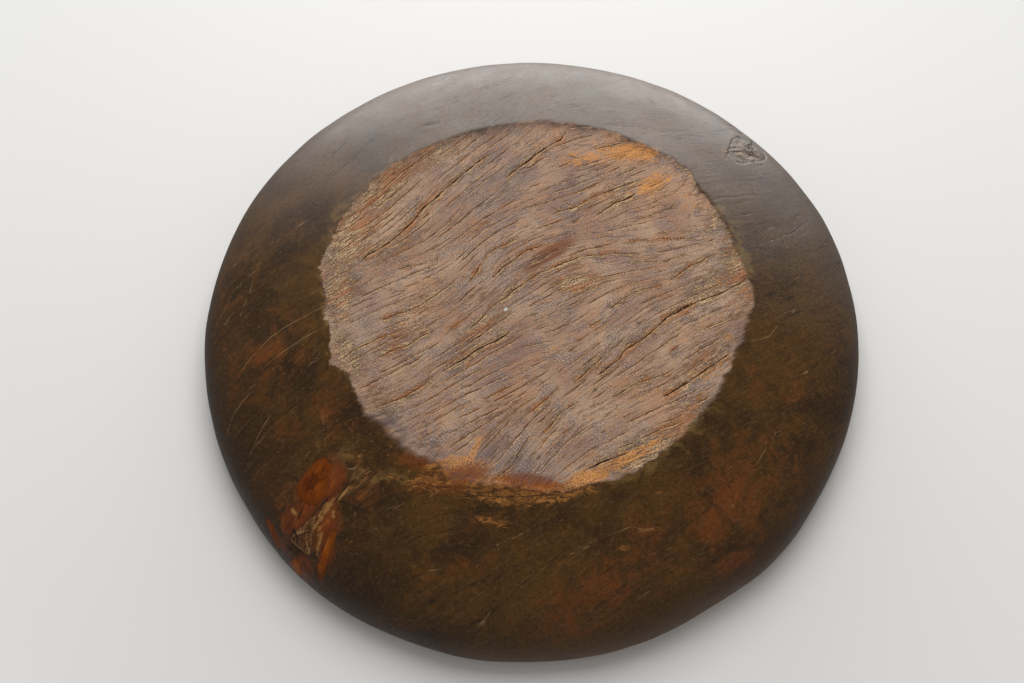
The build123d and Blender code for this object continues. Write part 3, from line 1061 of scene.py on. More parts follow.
# Hardwood: every noise by the place it reads, its stretch per mm, detail, roughness, twist and move aside.
# Grain runs along the fibres, flat is the underside laid flat, and the two turns are turned from that
hardwoodNoise = dict(
    fibre=("grain", (0.018, 0.7, 1), 4, 0.6),
    tint=("grain", (0.01, 0.05, 1), 4, 0.6),
    warmth=("grain", (0.022, 0.09, 1), 4, 0.65, 0, (5, 11, 0)),
    splinter=("grain", (0.09, 0.55, 1), 4, 0.7),
    gate=("grain", (0.03, 0.1, 1), 3, 0.6, 0, (7, 3, 1)),
    longChecks=("grain", (0.011, 0.13, 1), 3, 0.55),
    shortChecks=("grain", (0.025, 0.27, 1), 3, 0.55),
    drift=("grain", (0.007, 0.026, 1), 7, 0.72, 0.4),
    brush=("grain", (0.03, 0.75, 1), 3, 0.65),
    hair=("grain", (0.02, 0.12, 1), 3, 0.5, 0.6),
    hollowGrain=("grain", (0.006, 0.05, 1), 2, 0.5),
    fray=("grain", (0.12, 0.3, 1), 4, 0.65),
    wander=("grain", (0.25, 0.6, 1), 3, 0.65),
    zone=("flat", (0.022, 0.022, 1), 6, 0.62),
    warmZone=("flat", (0.014, 0.014, 1), 4, 0.6, 0.6, (2, 6, 0)),
    blotch=("flat", (0.04, 0.04, 1), 5, 0.62),
    tinge=("flat", (0.26, 0.26, 1), 4, 0.62, 0, (9, 4, 0)),
    grit=("flat", (0.5, 0.5, 1), 3, 0.65),
    speck=("flat", (0.85, 0.85, 1), 2, 0.6),
    crumb=("flat", (0.75, 0.75, 1), 3, 0.75),
    cloud=("flat", (0.013, 0.013, 1), 4, 0.5, 0.5),
    mottle=("flat", (0.05, 0.05, 1), 6, 0.7, 0.8),
    nicks=("flat", (0.18, 0.18, 1), 2, 0.7, 0, (3, 8, 2)),
    flow=("knotTurn", (0.05, 0.11, 1), 5, 0.55, 0.5),
    tornFibre=("scarTurn", (0.08, 0.2, 1), 6, 0.75, 1.4),
)
hardwoodTurns = dict(knotTurn=-62, scarTurn=-6)


# All that the hardwood's layers read, by name: the marks on the mesh's points, the noises and a few lines
def readHardwood(sheet):
    flat = sheet.attribute("flatPlace")
    places = dict(grain=sheet.attribute("grain"), flat=flat)
    places.update((name, sheet.turned(flat, degrees)) for name, degrees in hardwoodTurns.items())
    found = {}
    for attribute, names in bowlMarks.items():
        found.update(zip(names, sheet.split(sheet.attribute(attribute))))
    for name, (place, *rule) in hardwoodNoise.items():
        found[name] = sheet.pattern(places[place], *rule)
    wood = types.SimpleNamespace(**found)
    wood.reach = sheet.length(flat)
    wood.longLines = sheet.levelLines(wood.longChecks, 0.022)
    wood.hardEdge = sheet.minus(1.0, wood.softEdge)
    return wood


# Base: mauve and tan zones under cool, warm and sandy washes; crumbly wood where gold, edges or cracks add
# up; orange punky wood, stains and hairline checks. Its height sums fibres, grains and crumbs
def paintBase(sheet, wood):
    look = hardwood
    baseTone = sheet.plus(sheet.times(wood.tint, 0.4), sheet.times(wood.zone, 0.6))
    sandy = sheet.between(wood.blotch, 0.4, 0.62, 0.3, 0.8)
    redShare = sheet.plus(sheet.times(wood.rust, 0.7), sheet.minus(wood.fibre, 0.5))
    base = sheet.layers(look["mauve"], look, [
        ("tan", baseTone, 0.4, 0.6),
        ("greyMauve", wood.blotch, 0.47, 0.66, 0.7),
        ("orangeTan", wood.warmth, 0.5, 0.7, 0.5),
        ("orangeTan", wood.tinge, 0.53, 0.66, 0.65),
        ("greyMauve", wood.tinge, 0.46, 0.34, 0.4),
        ("sandDark", wood.fibre, 0.45, 0.3, 0.25),
        ("orangeTan", wood.warmZone, 0.5, 0.66, 0.4),
        ("greyMauve", wood.warmZone, 0.47, 0.32, 0.35),
        ("sandDark", wood.speck, 0.48, 0.35, sandy),
        ("sandPale", wood.speck, 0.53, 0.66, sandy),
        ("redFibre", redShare, 0.35, 0.8, 0.75),
    ])

    # Crumbly golden wood beside the cracks and along the base's edge
    patchy = sheet.between(wood.blotch, 0.4, 0.6)
    edgeBand = sheet.times(sheet.between(wood.edgeGap, 12, 2), patchy, wood.hardEdge, 0.7)
    rough = sheet.largest(wood.gold, edgeBand, sheet.times(wood.crackWear, 1.2))
    ragged = sheet.plus(sheet.minus(wood.splinter, 0.5), sheet.minus(wood.tinge, 0.5))
    rough = sheet.between(sheet.plus(rough, sheet.times(ragged, 1.3)), 0.42, 0.85)
    crumbs = sheet.plus(sheet.times(wood.splinter, 0.38), sheet.times(wood.crumb, 0.62))
    crumbly = sheet.layers(look["crumbDark"], look, [
        ("crumbPale", crumbs, 0.44, 0.55),
        ("crumbRust", wood.warmth, 0.46, 0.6, 0.6),
    ])
    base = sheet.mix(sheet.times(rough, 0.85), base, crumbly)

    # Orange punky wood, rusty at the lower edge
    punkTone = sheet.minus(wood.crumb, sheet.times(wood.rust, 0.14))
    punky = sheet.layers(look["punkDark"], look, [
        ("punkPale", punkTone, 0.32, 0.54),
        ("punkRust", wood.rust, 0.3, 1.2, 0.7),
    ])
    punkNoise = sheet.plus(sheet.minus(wood.warmth, 0.5), sheet.times(ragged, 1.3))
    punkShare = sheet.between(sheet.plus(wood.punk, sheet.times(punkNoise, 1.1)), 0.3, 0.8)
    base = sheet.mix(sheet.times(punkShare, 0.9), base, punky)

    # Stains, flecks and hairline checks in two sizes, broken up by a gate
    shortLines = sheet.levelLines(wood.shortChecks, 0.035)
    hairlines = sheet.largest(
        sheet.times(wood.longLines, sheet.between(wood.gate, 0.44, 0.54)),
        sheet.times(shortLines, sheet.between(wood.gate, 0.5, 0.42)),
    )
    base = sheet.layers(base, look, [
        ("stain", wood.warmth, 0.62, 0.4, wood.stain, 0.8),
        ("edgeStain", wood.edgeGap, 16, 0, wood.softEdge, sheet.between(wood.warmth, 0.64, 0.46), 0.8),
        ("fleck", wood.fleck, 0.3, 0.6),
    ])
    base = sheet.mix(sheet.times(hairlines, 0.4), base, look["checkBrown"])
    height = sheet.plus(
        sheet.times(wood.fibre, 0.2), sheet.times(wood.speck, sandy, 0.5), sheet.times(rough, crumbs, 1.6)
    )
    return base, sheet.minus(height, sheet.times(hairlines, 0.3))


# Wall: dark and brown drifts, rust and tan, painted sheen and some dust above towards the rim, then fine
# grain, lines, nicks, amber wood round the side knot and torn scars. Its height sums brush, mottle and
# specks
def paintWall(sheet, wood):
    look = hardwood
    shade = sheet.plus(
        sheet.times(wood.cloud, 0.4), sheet.times(wood.drift, 0.25), sheet.times(wood.mottle, 0.35)
    )
    wall = sheet.mix(sheet.between(shade, 0.39, 0.6), look["wallDark"], look["wallBrown"])
    # Painted shade on the lower left of the wall, and painted light on its bottom
    wall = sheet.mix(sheet.times(wood.deepShade, 0.75), wall, look["wallDark"])
    wall = sheet.mix(sheet.times(wood.deepShade, -0.5), wall, look["wallPaintedLight"])
    rustNoise = sheet.plus(sheet.times(wood.drift, 0.4), sheet.times(wood.mottle, 1.1))
    rustShare = sheet.plus(sheet.times(wood.rust, 0.6), sheet.minus(rustNoise, 0.75))
    tanShare = sheet.plus(wood.gold, sheet.swing(wood.mottle, 2.4))
    wall = sheet.layers(wall, look, [
        ("rust", rustShare, 0.1, 0.55, 0.8),
        ("wallTan", tanShare, 0.4, 0.9, 0.6),
    ])
    # Painted sheen, partly dust: the upper wall is mixed towards a pale grey that grows towards the rim
    sheenTowardsRim = sheet.between(wood.edgeGap, -20, -110, 0.5, 0.66)
    greyed = sheet.times(wood.bloom, sheenTowardsRim, sheet.between(shade, 0.1, 0.5))
    wall = sheet.mix(greyed, wall, look["bloom"])

    # Brushed fibres, specks, hairlines and nicks
    faint = sheet.between(greyed, 0, 1, 1, 0.45)
    wall = sheet.layers(wall, look, [
        ("wallDark", wood.brush, 0.48, 0.3, faint, 0.3),
        ("wallPale", wood.brush, 0.54, 0.7, 0.17),
        ("wallDark", wood.speck, 0.5, 0.32, faint, 0.42),
        ("wallPale", wood.speck, 0.54, 0.7, 0.24),
        ("wallDark", wood.tinge, 0.47, 0.34, faint, 0.45),
        ("wallPale", wood.tinge, 0.54, 0.68, 0.2),
    ])
    wallLines = sheet.times(wood.longLines, sheet.between(wood.gate, 0.5, 0.6), 0.55)
    wall = sheet.mix(wallLines, wall, look["crack"])
    wall = sheet.layers(wall, look, [
        ("scratch", wood.gate, 0.58, 0.7, sheet.levelLines(wood.hair, 0.012), 0.45),
        ("nick", wood.nicks, 0.7, 0.78, 0.6),
    ])

    # Amber wood round the side knot, streaked along the knot
    amberColour = sheet.layers(look["amberDeep"], look, [
        ("amber", wood.flow, 0.32, 0.56),
        ("amberBright", wood.flow, 0.56, 0.72),
    ])
    amberShare = sheet.plus(wood.amberMark, sheet.swing(wood.mottle, 1.2))
    wall = sheet.mix(sheet.times(sheet.between(amberShare, 0.25, 0.8), 0.85), wall, amberColour)

    # Torn tan scars, each with a dark cleft, and the wood that spilled over the base's edge
    scarReach = sheet.lineReach(wood.scarOffset, wood.scarWidth)
    scarThere = sheet.times(
        sheet.between(scarReach, 1.6, 0.6),
        sheet.between(wood.scarWidth, 0.2, 0.8),
        sheet.between(wood.splinter, 0.36, 0.56),
    )
    spill = sheet.plus(wood.punk, sheet.swing(wood.tornFibre, 1.6))
    scarThere = sheet.largest(scarThere, sheet.times(sheet.between(spill, 0.4, 0.75), 0.9))
    scarColour = sheet.layers(look["scarDark"], look, [
        ("scar", wood.tornFibre, 0.42, 0.62),
        ("scarDark", wood.speck, 0.48, 0.32, 0.6),
    ])
    wall = sheet.mix(sheet.times(scarThere, 0.8), wall, scarColour)
    wideScar = sheet.between(wood.scarWidth, 0.4, 1.0)
    wall = sheet.layers(wall, look, [("crack", scarReach, 0.35, 0.1, wideScar, 0.8)])
    height = sheet.plus(
        sheet.times(wood.brush, 0.18), sheet.times(wood.mottle, 0.12), sheet.times(wood.speck, 0.1)
    )
    return wall, sheet.minus(height, sheet.times(wallLines, 0.06))


# Hollow: handled wood in long streaks, worn paler towards the middle of its floor
def paintHollow(sheet, wood):
    streaks = sheet.plus(sheet.times(wood.hollowGrain, 0.7), sheet.times(wood.cloud, 0.3))
    return sheet.layers(hardwood["hollowDark"], hardwood, [
        ("hollowWarm", streaks, 0.36, 0.64),
        ("hollowWorn", wood.reach, 260, 60, sheet.between(streaks, 0.3, 0.56), 0.7),
        ("hollowDark", wood.brush, 0.5, 0.32, 0.4),
        ("hollowDark", wood.fibre, 0.47, 0.33, 0.45),
        ("crack", wood.gate, 0.54, 0.62, wood.longLines, 0.45),
    ])


# Cracks: the drawn line, made to wander; brown where thin and dark where wide, partly dark wood and partly
# painted shade in the groove, with an orange halo and a painted highlight as a pale edge on the lit side.
# Gives the colour and the share of the dark core
def paintCracks(sheet, wood, colour, onBase):
    look = hardwood
    wobble = sheet.times(sheet.minus(wood.wander, 0.5), sheet.plus(sheet.times(wood.crackWidth, 3.0), 0.25))
    side = sheet.plus(wood.crackOffset, wobble)
    reach = sheet.lineReach(side, wood.crackWidth)
    unbroken = sheet.largest(
        sheet.between(wood.splinter, 0.4, 0.49), sheet.between(wood.crackWidth, 0.5, 0.75)
    )
    there = sheet.times(sheet.between(wood.crackWidth, 0.05, 0.22), unbroken)
    below = sheet.minus(sheet.times(side, -1), wood.crackWidth)
    litShares = sheet.between(below, -0.3, 0.2), there, onBase, sheet.between(wood.grit, 0.4, 0.54), 0.85
    colour = sheet.layers(colour, look, [
        ("checkHalo", reach, 4.2, 1.2, there, onBase, sheet.between(wood.grit, 0.4, 0.6), 0.7),
        ("litEdge", below, 1.5, 0.4, *litShares),
    ])
    # Dark core: partly the wood's dark inside, partly painted shade in the groove
    core = sheet.times(sheet.between(reach, 1.1, 0.65), there)
    coreColour = sheet.mix(sheet.between(wood.crackWidth, 0.3, 0.7), look["checkBrown"], look["crack"])
    return sheet.mix(sheet.times(core, 0.9), colour, coreColour), core


# Scratches, painted shade in the crevice round the knots, and pale and dark marks
def paintMarks(sheet, wood, colour):
    look = hardwood
    scratchReach = sheet.lineReach(wood.scratchOffset, wood.scratchWidth)
    knotReach = sheet.calc("ABSOLUTE", wood.knotEdge)
    colour = sheet.layers(colour, look, [
        ("scratch", scratchReach, 1.1, 0.4, sheet.between(wood.scratchWidth, 0.08, 0.25), 0.7),
        # painted shade: a dark line in the crevice round the knots
        ("crack", knotReach, 1.2, 0.2, sheet.between(wood.splinter, 0.46, 0.6), 0.3),
    ])
    paleNoise = sheet.plus(wood.paleMark, sheet.swing(wood.tinge, 1.4))
    paleShare = sheet.times(sheet.between(paleNoise, 0.4, 0.8), sheet.between(wood.paleMark, 0.1, 0.3))
    paleColour = sheet.mix(sheet.between(wood.paleMark, 0.9, 1.3), look["nick"], look["chip"])
    colour = sheet.mix(paleShare, colour, paleColour)
    return sheet.layers(colour, look, [("crack", wood.darkMark, 0.3, 0.7, 0.85)])


# Hardwood: wall and base meet at the base's edge, frayed by noise and soft where it is worn; cracks and
# marks lie over both, and the hollow takes over inside the lip
def makeHardwood():
    look = hardwood
    sheet = NodeSheet("patinatedHardwood")
    wood = readHardwood(sheet)
    base, baseHeight = paintBase(sheet, wood)
    wall, wallHeight = paintWall(sheet, wood)
    frayedGap = sheet.plus(wood.edgeGap, sheet.swing(wood.fray, 9))
    softReach = sheet.plus(sheet.times(wood.softEdge, 5), 0.8)
    onBase = sheet.between(frayedGap, sheet.times(softReach, -1), softReach)
    colour = sheet.mix(onBase, wall, base)
    # Painted shade along the step at the base's edge: a thin dark brown line, in patches
    edgeReach = sheet.calc("ABSOLUTE", frayedGap)
    patchy = sheet.between(wood.blotch, 0.4, 0.6)
    colour = sheet.layers(colour, look, [("checkBrown", edgeReach, 2.2, 0.4, patchy, wood.hardEdge, 0.5)])
    colour, core = paintCracks(sheet, wood, colour, onBase)
    colour = paintMarks(sheet, wood, colour)
    colour = sheet.mix(wood.inside, colour, paintHollow(sheet, wood))

    wallRough = sheet.between(wood.mottle, 0.3, 0.7, *look["wallRoughness"])
    hollowRough = sheet.between(wood.mottle, 0.3, 0.7, *look["hollowRoughness"])
    roughness = sheet.blendValue(onBase, wallRough, look["baseRoughness"])
    roughness = sheet.blendValue(wood.inside, roughness, hollowRough)
    height = sheet.blendValue(onBase, wallHeight, baseHeight)
    height = sheet.minus(height, sheet.times(core, 0.7))
    height = sheet.minus(height, sheet.times(wood.darkMark, 0.6))
    print("hardwood: %d noises" % len(hardwoodNoise))
    return sheet.finish(colour, roughness, look["specular"], height, look["bumpDepth"])


# Knot meshes: points round and rings, a slightly uneven outline, lumps (long and short wave in mm, share
# of the short), a rolled edge, and a skirt drawn in and sunk by shares of the pocket's depth
knotMesh = dict(
    directions=721,
    around=72,
    rings=16,
    outlineWave=4,
    outlineUneven=0.03,
    lumpLengths=(6, 2.5, 0.5),
    edgeDrop=0.25,
    skirtSpread=(1.0, 0.9),
    skirtDepth=(0.8, 1.6),
)


# Knot outline: the hull of its circles, by the furthest circle in each direction, spaced evenly
def hullOutline(circles, count):
    circles = np.array(circles, float)
    facing = np.linspace(0, 2 * math.pi, knotMesh["directions"])
    normal = np.stack([np.cos(facing), np.sin(facing)], 1)
    far = (normal @ circles[:, :2].T + circles[:, 2]).argmax(1)
    hull = circles[far, :2] + circles[far, 2:] * normal
    run = runLength(hull)
    even = np.linspace(0, run[-1], count, endpoint=False)
    return np.stack([np.interp(even, run, hull[:, 0]), np.interp(even, run, hull[:, 1])], 1)


# Knot: rings from the middle of its outline to the edge, laid on the wall and raised by a crown
# (1 - share^2) with lumps, then a skirt down into the pocket, closed at both poles
def makeKnot(name, knot, material, layer):
    around, rings, wave = knotMesh["around"], knotMesh["rings"], knotMesh["outlineWave"]
    outline = hullOutline(knot["circles"], around)
    middle = outline.mean(0)
    rough = softNoise(outline[:, 0] / wave, outline[:, 1] / wave, layer + 2)
    outward = (outline - middle) * (1 + knotMesh["outlineUneven"] * rough[:, None])
    share = np.linspace(0, 1, rings + 1)[1:, None]
    spread = np.concatenate([share, np.array(knotMesh["skirtSpread"])[:, None]])
    flat = middle + spread[..., None] * outward
    lumps = twoWaves(flat[..., 0], flat[..., 1], layer, *knotMesh["lumpLengths"])
    height = knot["crown"] * (1 - share ** 2) + knot["lumps"] * lumps[:rings] * (1 - share ** 4)
    height = height - knotMesh["edgeDrop"] * share ** 8
    below = -bowl["pocketDepth"] * np.array(knotMesh["skirtDepth"])[:, None] + 0 * lumps[rings:]
    height = np.concatenate([height, below])
    turn = math.radians(knot["turn"])
    x = flat[..., 0] * math.cos(turn) - flat[..., 1] * math.sin(turn)
    y = flat[..., 0] * math.sin(turn) + flat[..., 1] * math.cos(turn)
    middleAngle, middleRun, radius = knotPlace(knot)
    angle, reach = middleAngle - x / radius, bowl["foot"] + middleRun + y
    right, up = reach * np.cos(angle), reach * np.sin(angle)
    wallPoints, wallNormals = wallSurface(angle, wallShareAt(angle, reach))
    lift = wallWaves(right, up, reach - footEdge(angle))
    points = wallPoints + (height + lift)[..., None] * wallNormals
    top, bottom = points[0].mean(0), points[-1].mean(0)
    points = np.concatenate([points.reshape(-1, 3), top[None], bottom[None]])
    rows = np.arange(len(points) - 2).reshape(-1, around)
    ahead = np.roll(rows, -1, axis=1)
    topCap = np.stack([rows[0], ahead[0], np.full(around, len(points) - 2)], -1)
    bottomCap = np.stack([ahead[-1], rows[-1], np.full(around, len(points) - 1)], -1)
    # the outline runs the other way round seen from outside, so faces are turned over
    faces = ringQuads(rows)[:, ::-1].tolist() + topCap[:, ::-1].tolist() + bottomCap[:, ::-1].tolist()
    piece = makePiece(name, points, faces, material)

    local = np.stack([flat[..., 0], flat[..., 1], height], -1).reshape(-1, 3)
    local = np.concatenate([local, np.tile((*middle, 0), (2, 1))])
    putAttribute(piece, "knotPlace", local)
    edgeShare = np.concatenate([np.repeat(share[:, 0], around), np.ones(2 * around), [0, 1]])
    tones = [edgeShare, np.full(len(local), knot["greyed"]), np.full(len(local), knot["glow"])]
    putAttribute(piece, "knotTone", np.stack(tones, 1))
    right, up = right.ravel(), up.ravel()
    spots = [np.append(patchField(right, up, marks), (0, 0)) for marks in (darkMarks, paleMarks)]
    putAttribute(piece, "knotMarks", np.stack([*spots, 0 * spots[0]], 1))
    return piece


# Growth rings: the sine of a whole turn per ring spacing away from the eye, made uneven by a wander
def growthRings(sheet, place, look, wander):
    reach = sheet.length(sheet.shift(place, (0, -look["eyeRise"], 0)))
    rings = sheet.calc("DIVIDE", reach, look["ringSpacing"])
    phase = sheet.plus(rings, sheet.times(wander, look["ringWander"]))
    return sheet.calc("SINE", sheet.times(phase, 2 * math.pi))


amber = dict(
    deep=tone(80, 36, 8),
    warm=tone(136, 68, 14),
    bright=tone(182, 102, 26),
    crack=tone(30, 16, 8),
    chip=tone(206, 168, 116),
    edge=tone(112, 54, 12),
    roughness=(0.4, 0.6),
    specular=0.12,
    bumpDepth=0.4,
)


# Amber knot wood: deep and bright clouds with dark streaks up its length, fading to the wall at its edge
def makeAmber():
    sheet = NodeSheet("amberKnot")
    place = sheet.attribute("knotPlace")
    tones = sheet.split(sheet.attribute("knotTone"))
    edgeShare, glow = tones[0], tones[2]
    darkMark, paleMark = sheet.split(sheet.attribute("knotMarks"))[:2]
    cloud = sheet.pattern(place, (0.13, 0.05, 0.1), 4, 0.6, 0.6)
    streak = sheet.pattern(place, (0.5, 0.06, 0.3), 4, 0.65, 0.6)
    speck = sheet.pattern(place, (0.9, 0.7, 0.8), 2, 0.6)
    warmShare = sheet.plus(cloud, sheet.times(glow, 0.3), sheet.times(streak, 0.3))
    fade = sheet.plus(edgeShare, sheet.swing(streak, 1.2))
    colour = sheet.layers(amber["deep"], amber, [
        ("warm", warmShare, 0.56, 0.82),
        ("bright", warmShare, 0.82, 1.06),
        ("crack", streak, 0.42, 0.3, 0.4),
        ("crack", speck, 0.46, 0.32, 0.4),
        ("edge", fade, 0.35, 0.95, 0.95),
        ("chip", paleMark, 0.3, 0.7),
        ("crack", darkMark, 0.3, 0.7, 0.85),
    ])
    rough = sheet.between(cloud, 0.3, 0.7, *amber["roughness"])
    return sheet.finish(colour, rough, amber["specular"], streak, amber["bumpDepth"])


bark = dict(
    dark=tone(56, 36, 20),
    tan=tone(122, 84, 46),
    pale=tone(158, 116, 68),
    edge=tone(76, 48, 22),
    greyDark=tone(44, 32, 24),
    grey=tone(104, 88, 74),
    greyPale=tone(144, 124, 104),
    greyEdge=tone(86, 77, 69),
    eyeRise=5,
    ringSpacing=3.4,
    ringWander=4,
    roughness=(0.7, 0.95),
    greyRoughness=(0.65, 0.5),
    specular=0.3,
    bumpDepth=1.0,
)


# Bark: tan ridges with dark furrows along the seam; round the eye it has weathered grey, in rings
def makeBark():
    sheet = NodeSheet("barkRemains")
    place = sheet.attribute("knotPlace")
    edgeShare, greyed = sheet.split(sheet.attribute("knotTone"))[:2]
    darkMark, paleMark = sheet.split(sheet.attribute("knotMarks"))[:2]
    ridge = sheet.pattern(place, (0.5, 0.12, 0.4), 5, 0.65, 0.8)
    grit = sheet.pattern(place, (1.2, 1.2, 1.2), 3, 0.6)
    wander = sheet.pattern(place, (0.1, 0.1, 0.1), 4, 0.6)
    clefts = sheet.levelLines(sheet.pattern(place, (0.24, 0.16, 0.2), 4, 0.65, 1.0), 0.03)
    rings = growthRings(sheet, place, bark, wander)
    tanBark = sheet.layers(bark["dark"], bark, [
        ("tan", ridge, 0.38, 0.58),
        ("pale", ridge, 0.56, 0.72, sheet.between(grit, 0.3, 0.6)),
    ])
    greyBark = sheet.layers(bark["grey"], bark, [
        ("greyPale", wander, 0.35, 0.65),
        ("greyDark", rings, -0.5, -0.95, sheet.between(ridge, 0.38, 0.56)),
        ("greyDark", grit, 0.4, 0.3),
        ("greyDark", sheet.split(place)[1], -10, 4, clefts),
    ])
    fade = sheet.plus(edgeShare, sheet.swing(ridge, 2.0))
    blends = dict(
        edge=sheet.mix(greyed, bark["edge"], bark["greyEdge"]),
        pale=sheet.mix(greyed, bark["pale"], bark["greyPale"]),
        dark=bark["dark"],
    )
    colour = sheet.layers(sheet.mix(greyed, tanBark, greyBark), blends, [
        ("edge", fade, 0.4, 0.95, 0.9),
        ("pale", paleMark, 0.3, 0.7),
        ("dark", darkMark, 0.3, 0.7, 0.9),
    ])
    rough = sheet.between(ridge, 0.3, 0.7, *bark["roughness"])
    rough = sheet.blendValue(greyed, rough, sheet.between(fade, 0.2, 0.8, *bark["greyRoughness"]))
    return sheet.finish(colour, rough, bark["specular"], sheet.minus(ridge, darkMark), bark["bumpDepth"])


endGrain = dict(
    dark=tone(50, 32, 22),
    brown=tone(118, 78, 50),
    pale=tone(156, 112, 76),
    border=tone(164, 122, 78),
    roughness=(0.7, 0.95),
    specular=0.15,
    bumpDepth=1.2,
)


# End grain: short fibres cut across, dark between them, inside a tan border
def makeEndGrain():
    sheet = NodeSheet("endGrainKnot")
    place = sheet.attribute("knotPlace")
    edgeShare = sheet.split(sheet.attribute("knotTone"))[0]
    darkMark, paleMark = sheet.split(sheet.attribute("knotMarks"))[:2]
    fibre = sheet.pattern(place, (0.75, 0.3, 0.5), 4, 0.65, 1.0)
    border = sheet.plus(edgeShare, sheet.swing(fibre, 1.8))
    colour = sheet.layers(endGrain["dark"], endGrain, [
        ("brown", fibre, 0.38, 0.56),
        ("pale", fibre, 0.56, 0.72),
        ("border", border, 0.7, 1.0, 0.6),
        ("border", paleMark, 0.3, 0.7),
        ("dark", darkMark, 0.3, 0.7, 0.85),
    ])
    rough = sheet.between(fibre, 0.3, 0.7, *endGrain["roughness"])
    return sheet.finish(colour, rough, endGrain["specular"], fibre, endGrain["bumpDepth"])


greyKnot = dict(
    dark=tone(58, 49, 43),
    grey=tone(116, 104, 95),
    pale=tone(142, 129, 118),
    eyeRise=5,
    ringSpacing=3.0,
    ringWander=2.5,
    roughness=(0.5, 0.7),
    specular=0.3,
    bumpDepth=0.6,
)


# Grey knot wood: growth rings round the eye, wavy and weathered
def makeGreyKnot():
    sheet = NodeSheet("greyKnot")
    place = sheet.attribute("knotPlace")
    darkMark = sheet.split(sheet.attribute("knotMarks"))[0]
    wander = sheet.pattern(place, (0.18, 0.18, 0.18), 4, 0.6)
    rings = growthRings(sheet, place, greyKnot, wander)
    colour = sheet.layers(greyKnot["dark"], greyKnot, [
        ("grey", rings, -1, 0.6),
        ("pale", wander, 0.5, 0.7, 0.7),
        ("dark", darkMark, 0.3, 0.7, 0.9),
    ])
    rough = sheet.between(wander, 0.3, 0.7, *greyKnot["roughness"])
    return sheet.finish(colour, rough, greyKnot["specular"], rings, greyKnot["bumpDepth"])


# Stage: a pale floor under the base, seen only from above, and a pale ground against the rim, seen only
# from the picture's side, as if the bowl lay upside down; each fades out, and neither blocks light
stage = dict(
    colour=tone(238, 236, 233),
    roughness=0.9,
    specular=0.1,
    around=64,
    ringShares=(0.02, 0.2, 0.35, 0.5, 0.65, 0.8, 1.0),
    fadeFrom=0.3,
    floorReach=1.3,
    groundReach=1.0,
    rimGap=0.6,
    backdropColour=(1.0, 1.0, 0.99, 1),
    background=0.84,
    fill=0.4,
)


# Round ground: rings of points about a middle in the plane of two directions, its fade from 1 to 0
def makeGround(name, middle, across, ahead, reach, material):
    around = stage["around"]
    share = np.array(stage["ringShares"])[:, None]
    turn = np.linspace(0, 2 * math.pi, around, endpoint=False)
    offset = np.cos(turn)[:, None] * across + np.sin(turn)[:, None] * ahead
    points = middle + reach * share[..., None] * offset
    points = np.concatenate([points.reshape(-1, 3), middle[None]]) / mm
    rows = np.arange(len(points) - 1).reshape(-1, around)
    cap = np.stack([rows[0], np.roll(rows[0], -1), np.full(around, len(points) - 1)], -1)
    ground = makePiece(name, points, ringQuads(rows).tolist() + cap.tolist(), material)
    fade = np.concatenate([np.repeat(1 - smoothStep(share[:, 0], stage["fadeFrom"], 1), around), [1]])
    putAttribute(ground, "fade", np.stack([fade, fade, fade], 1))
    ground.visible_diffuse = False
    ground.visible_glossy = False
    ground.visible_transmission = False
    ground.visible_shadow = False


# Stage: both grounds share a finish that is as solid as its fade, on its front side only. The world is
# one brightness to the camera and another to everything it lights
def makeStage():
    sheet = NodeSheet("paleGround")
    sheet.shader.inputs["Base Color"].default_value = stage["colour"]
    sheet.shader.inputs["Roughness"].default_value = stage["roughness"]
    sheet.shader.inputs["Specular IOR Level"].default_value = stage["specular"]
    fade = sheet.split(sheet.attribute("fade"))[0]
    behind = sheet.put("ShaderNodeNewGeometry").outputs["Backfacing"]
    sheet.wire(sheet.shader.inputs["Alpha"], sheet.times(fade, sheet.minus(1.0, behind)))
    floorAcross, floorAhead = np.eye(3)[:2]
    makeGround("floor", 0 * bowlUp, floorAcross, floorAhead, stage["floorReach"], sheet.material)
    rimTop = bowlUp * (bowl["height"] + stage["rimGap"]) * mm
    makeGround("ground", rimTop, photoUp, -photoRight, stage["groundReach"], sheet.material)

    world = bpy.data.worlds.new("paleRoom")
    world.use_nodes = True
    bpy.context.scene.world = world
    tree = world.node_tree
    tree.nodes.clear()
    path = tree.nodes.new("ShaderNodeLightPath")
    light = tree.nodes.new("ShaderNodeBackground")
    light.inputs["Strength"].default_value = stage["fill"]
    backdrop = tree.nodes.new("ShaderNodeBackground")
    backdrop.inputs["Color"].default_value = stage["backdropColour"]
    backdrop.inputs["Strength"].default_value = stage["background"]
    choose = tree.nodes.new("ShaderNodeMixShader")
    tree.links.new(path.outputs["Is Camera Ray"], choose.inputs[0])
    tree.links.new(light.outputs[0], choose.inputs[1])
    tree.links.new(backdrop.outputs[0], choose.inputs[2])
    output = tree.nodes.new("ShaderNodeOutputWorld")
    tree.links.new(choose.outputs[0], output.inputs[0])
    print("stage: floor, ground and pale world")


# Lamps: direction from the bowl, distance, size and power. The sheen lamp only shows in the waxed wall,
# and the others only light it
lamps = dict(
    keyLamp=dict(
        towards=photoUp * 0.38 + photoRight * 0.02 - bowlUp * 0.85, distance=1.9, width=1.4, height=1.4,
        power=25, mirrored=False,
    ),
    topLamp=dict(
        towards=photoUp * 0.985 - photoRight * 0.02 - bowlUp * 0.14, distance=1.5, width=1.6, height=0.45,
        power=12, mirrored=False,
    ),
    sheenLamp=dict(
        towards=photoUp * 0.985 + photoRight * 0.05 - bowlUp * 0.08, distance=1.5, width=2.0, height=0.75,
        power=36, mirrored=True,
    ),
    overLamp=dict(
        towards=bowlUp * 1.0 + photoRight * 0.2 + photoUp * 0.35, distance=1.8, width=1.3, height=1.3,
        power=25, mirrored=False,
    ),
)


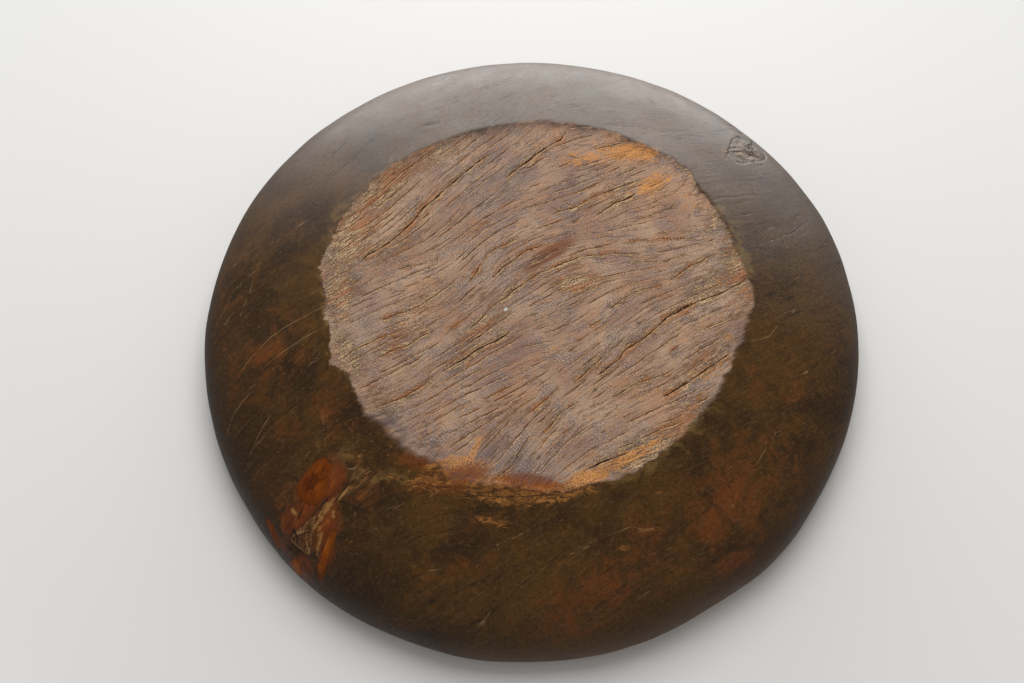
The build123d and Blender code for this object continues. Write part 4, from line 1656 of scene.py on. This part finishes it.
# Lamps: each stands its distance away from the bowl's middle and faces it, with its width level
def makeLamps():
    aim = bowlUp * bowl["height"] * mm / 2
    for name, lamp in lamps.items():
        light = bpy.data.lights.new(name, "AREA")
        light.shape = "RECTANGLE"
        light.size, light.size_y = lamp["width"], lamp["height"]
        light.energy = lamp["power"]
        holder = bpy.data.objects.new(name, light)
        bpy.context.scene.collection.objects.link(holder)
        towards = lamp["towards"] / np.linalg.norm(lamp["towards"])
        holder.location = aim + towards * lamp["distance"]
        side = np.cross(photoRight, towards)
        side = side / np.linalg.norm(side)
        across = np.cross(side, towards)
        turn = np.eye(4)
        turn[:3, 0], turn[:3, 1], turn[:3, 2] = across, side, towards
        turn[:3, 3] = holder.location
        holder.matrix_world = turn.T.tolist()
        holder.visible_camera = False
        holder.visible_glossy = lamp["mirrored"]
        holder.visible_diffuse = not lamp["mirrored"]
    print("lamps:", ", ".join(lamps))


# Camera: below the base, tilted towards the picture's lower edge, with the aim in mm
viewpoint = dict(lens=50, distance=1276, tilt=27.2, aimRight=-17.5, aimUp=-23.2, aimHeight=52.5)


# Camera: the aim plus the distance along the tilted way back, upright in the picture
def makeCamera():
    tilt = math.radians(viewpoint["tilt"])
    back = -bowlUp * math.cos(tilt) - photoUp * math.sin(tilt)
    aim = photoRight * viewpoint["aimRight"] + photoUp * viewpoint["aimUp"]
    aim = aim + bowlUp * viewpoint["aimHeight"]
    place = (aim + back * viewpoint["distance"]) * mm
    upward = photoUp - back * (photoUp @ back)
    upward = upward / np.linalg.norm(upward)
    turn = np.eye(4)
    turn[:3, 0], turn[:3, 1], turn[:3, 2], turn[:3, 3] = np.cross(upward, back), upward, back, place
    camera = bpy.data.objects.new("viewpoint", bpy.data.cameras.new("viewpoint"))
    camera.data.lens = viewpoint["lens"]
    camera.matrix_world = turn.T.tolist()
    bpy.context.scene.collection.objects.link(camera)
    bpy.context.scene.camera = camera
    print("camera: %d mm lens, %.0f mm away" % (viewpoint["lens"], viewpoint["distance"]))


makeCamera()
makeLamps()
makeStage()

bowlPiece = makeBowl(makeHardwood())
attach(bowlPiece, "root")
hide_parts("bowl_body")

finishes = dict(
    amber_knot=makeAmber(), bark=makeBark(), end_grain_knot=makeEndGrain(), grey_knot=makeGreyKnot()
)
for order, (node, knot) in enumerate(knots.items()):
    words = node.split("_")
    pieceName = words[0] + "".join(word.capitalize() for word in words[1:])
    knotPiece = makeKnot(pieceName, knot, finishes[knot["slot"]], noiseLayers["knots"] + 2 * order)
    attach(knotPiece, "root")
    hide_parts(node)
print("knots: %d pieces" % len(knots))

bpy.context.scene.view_settings.view_transform = "Standard"
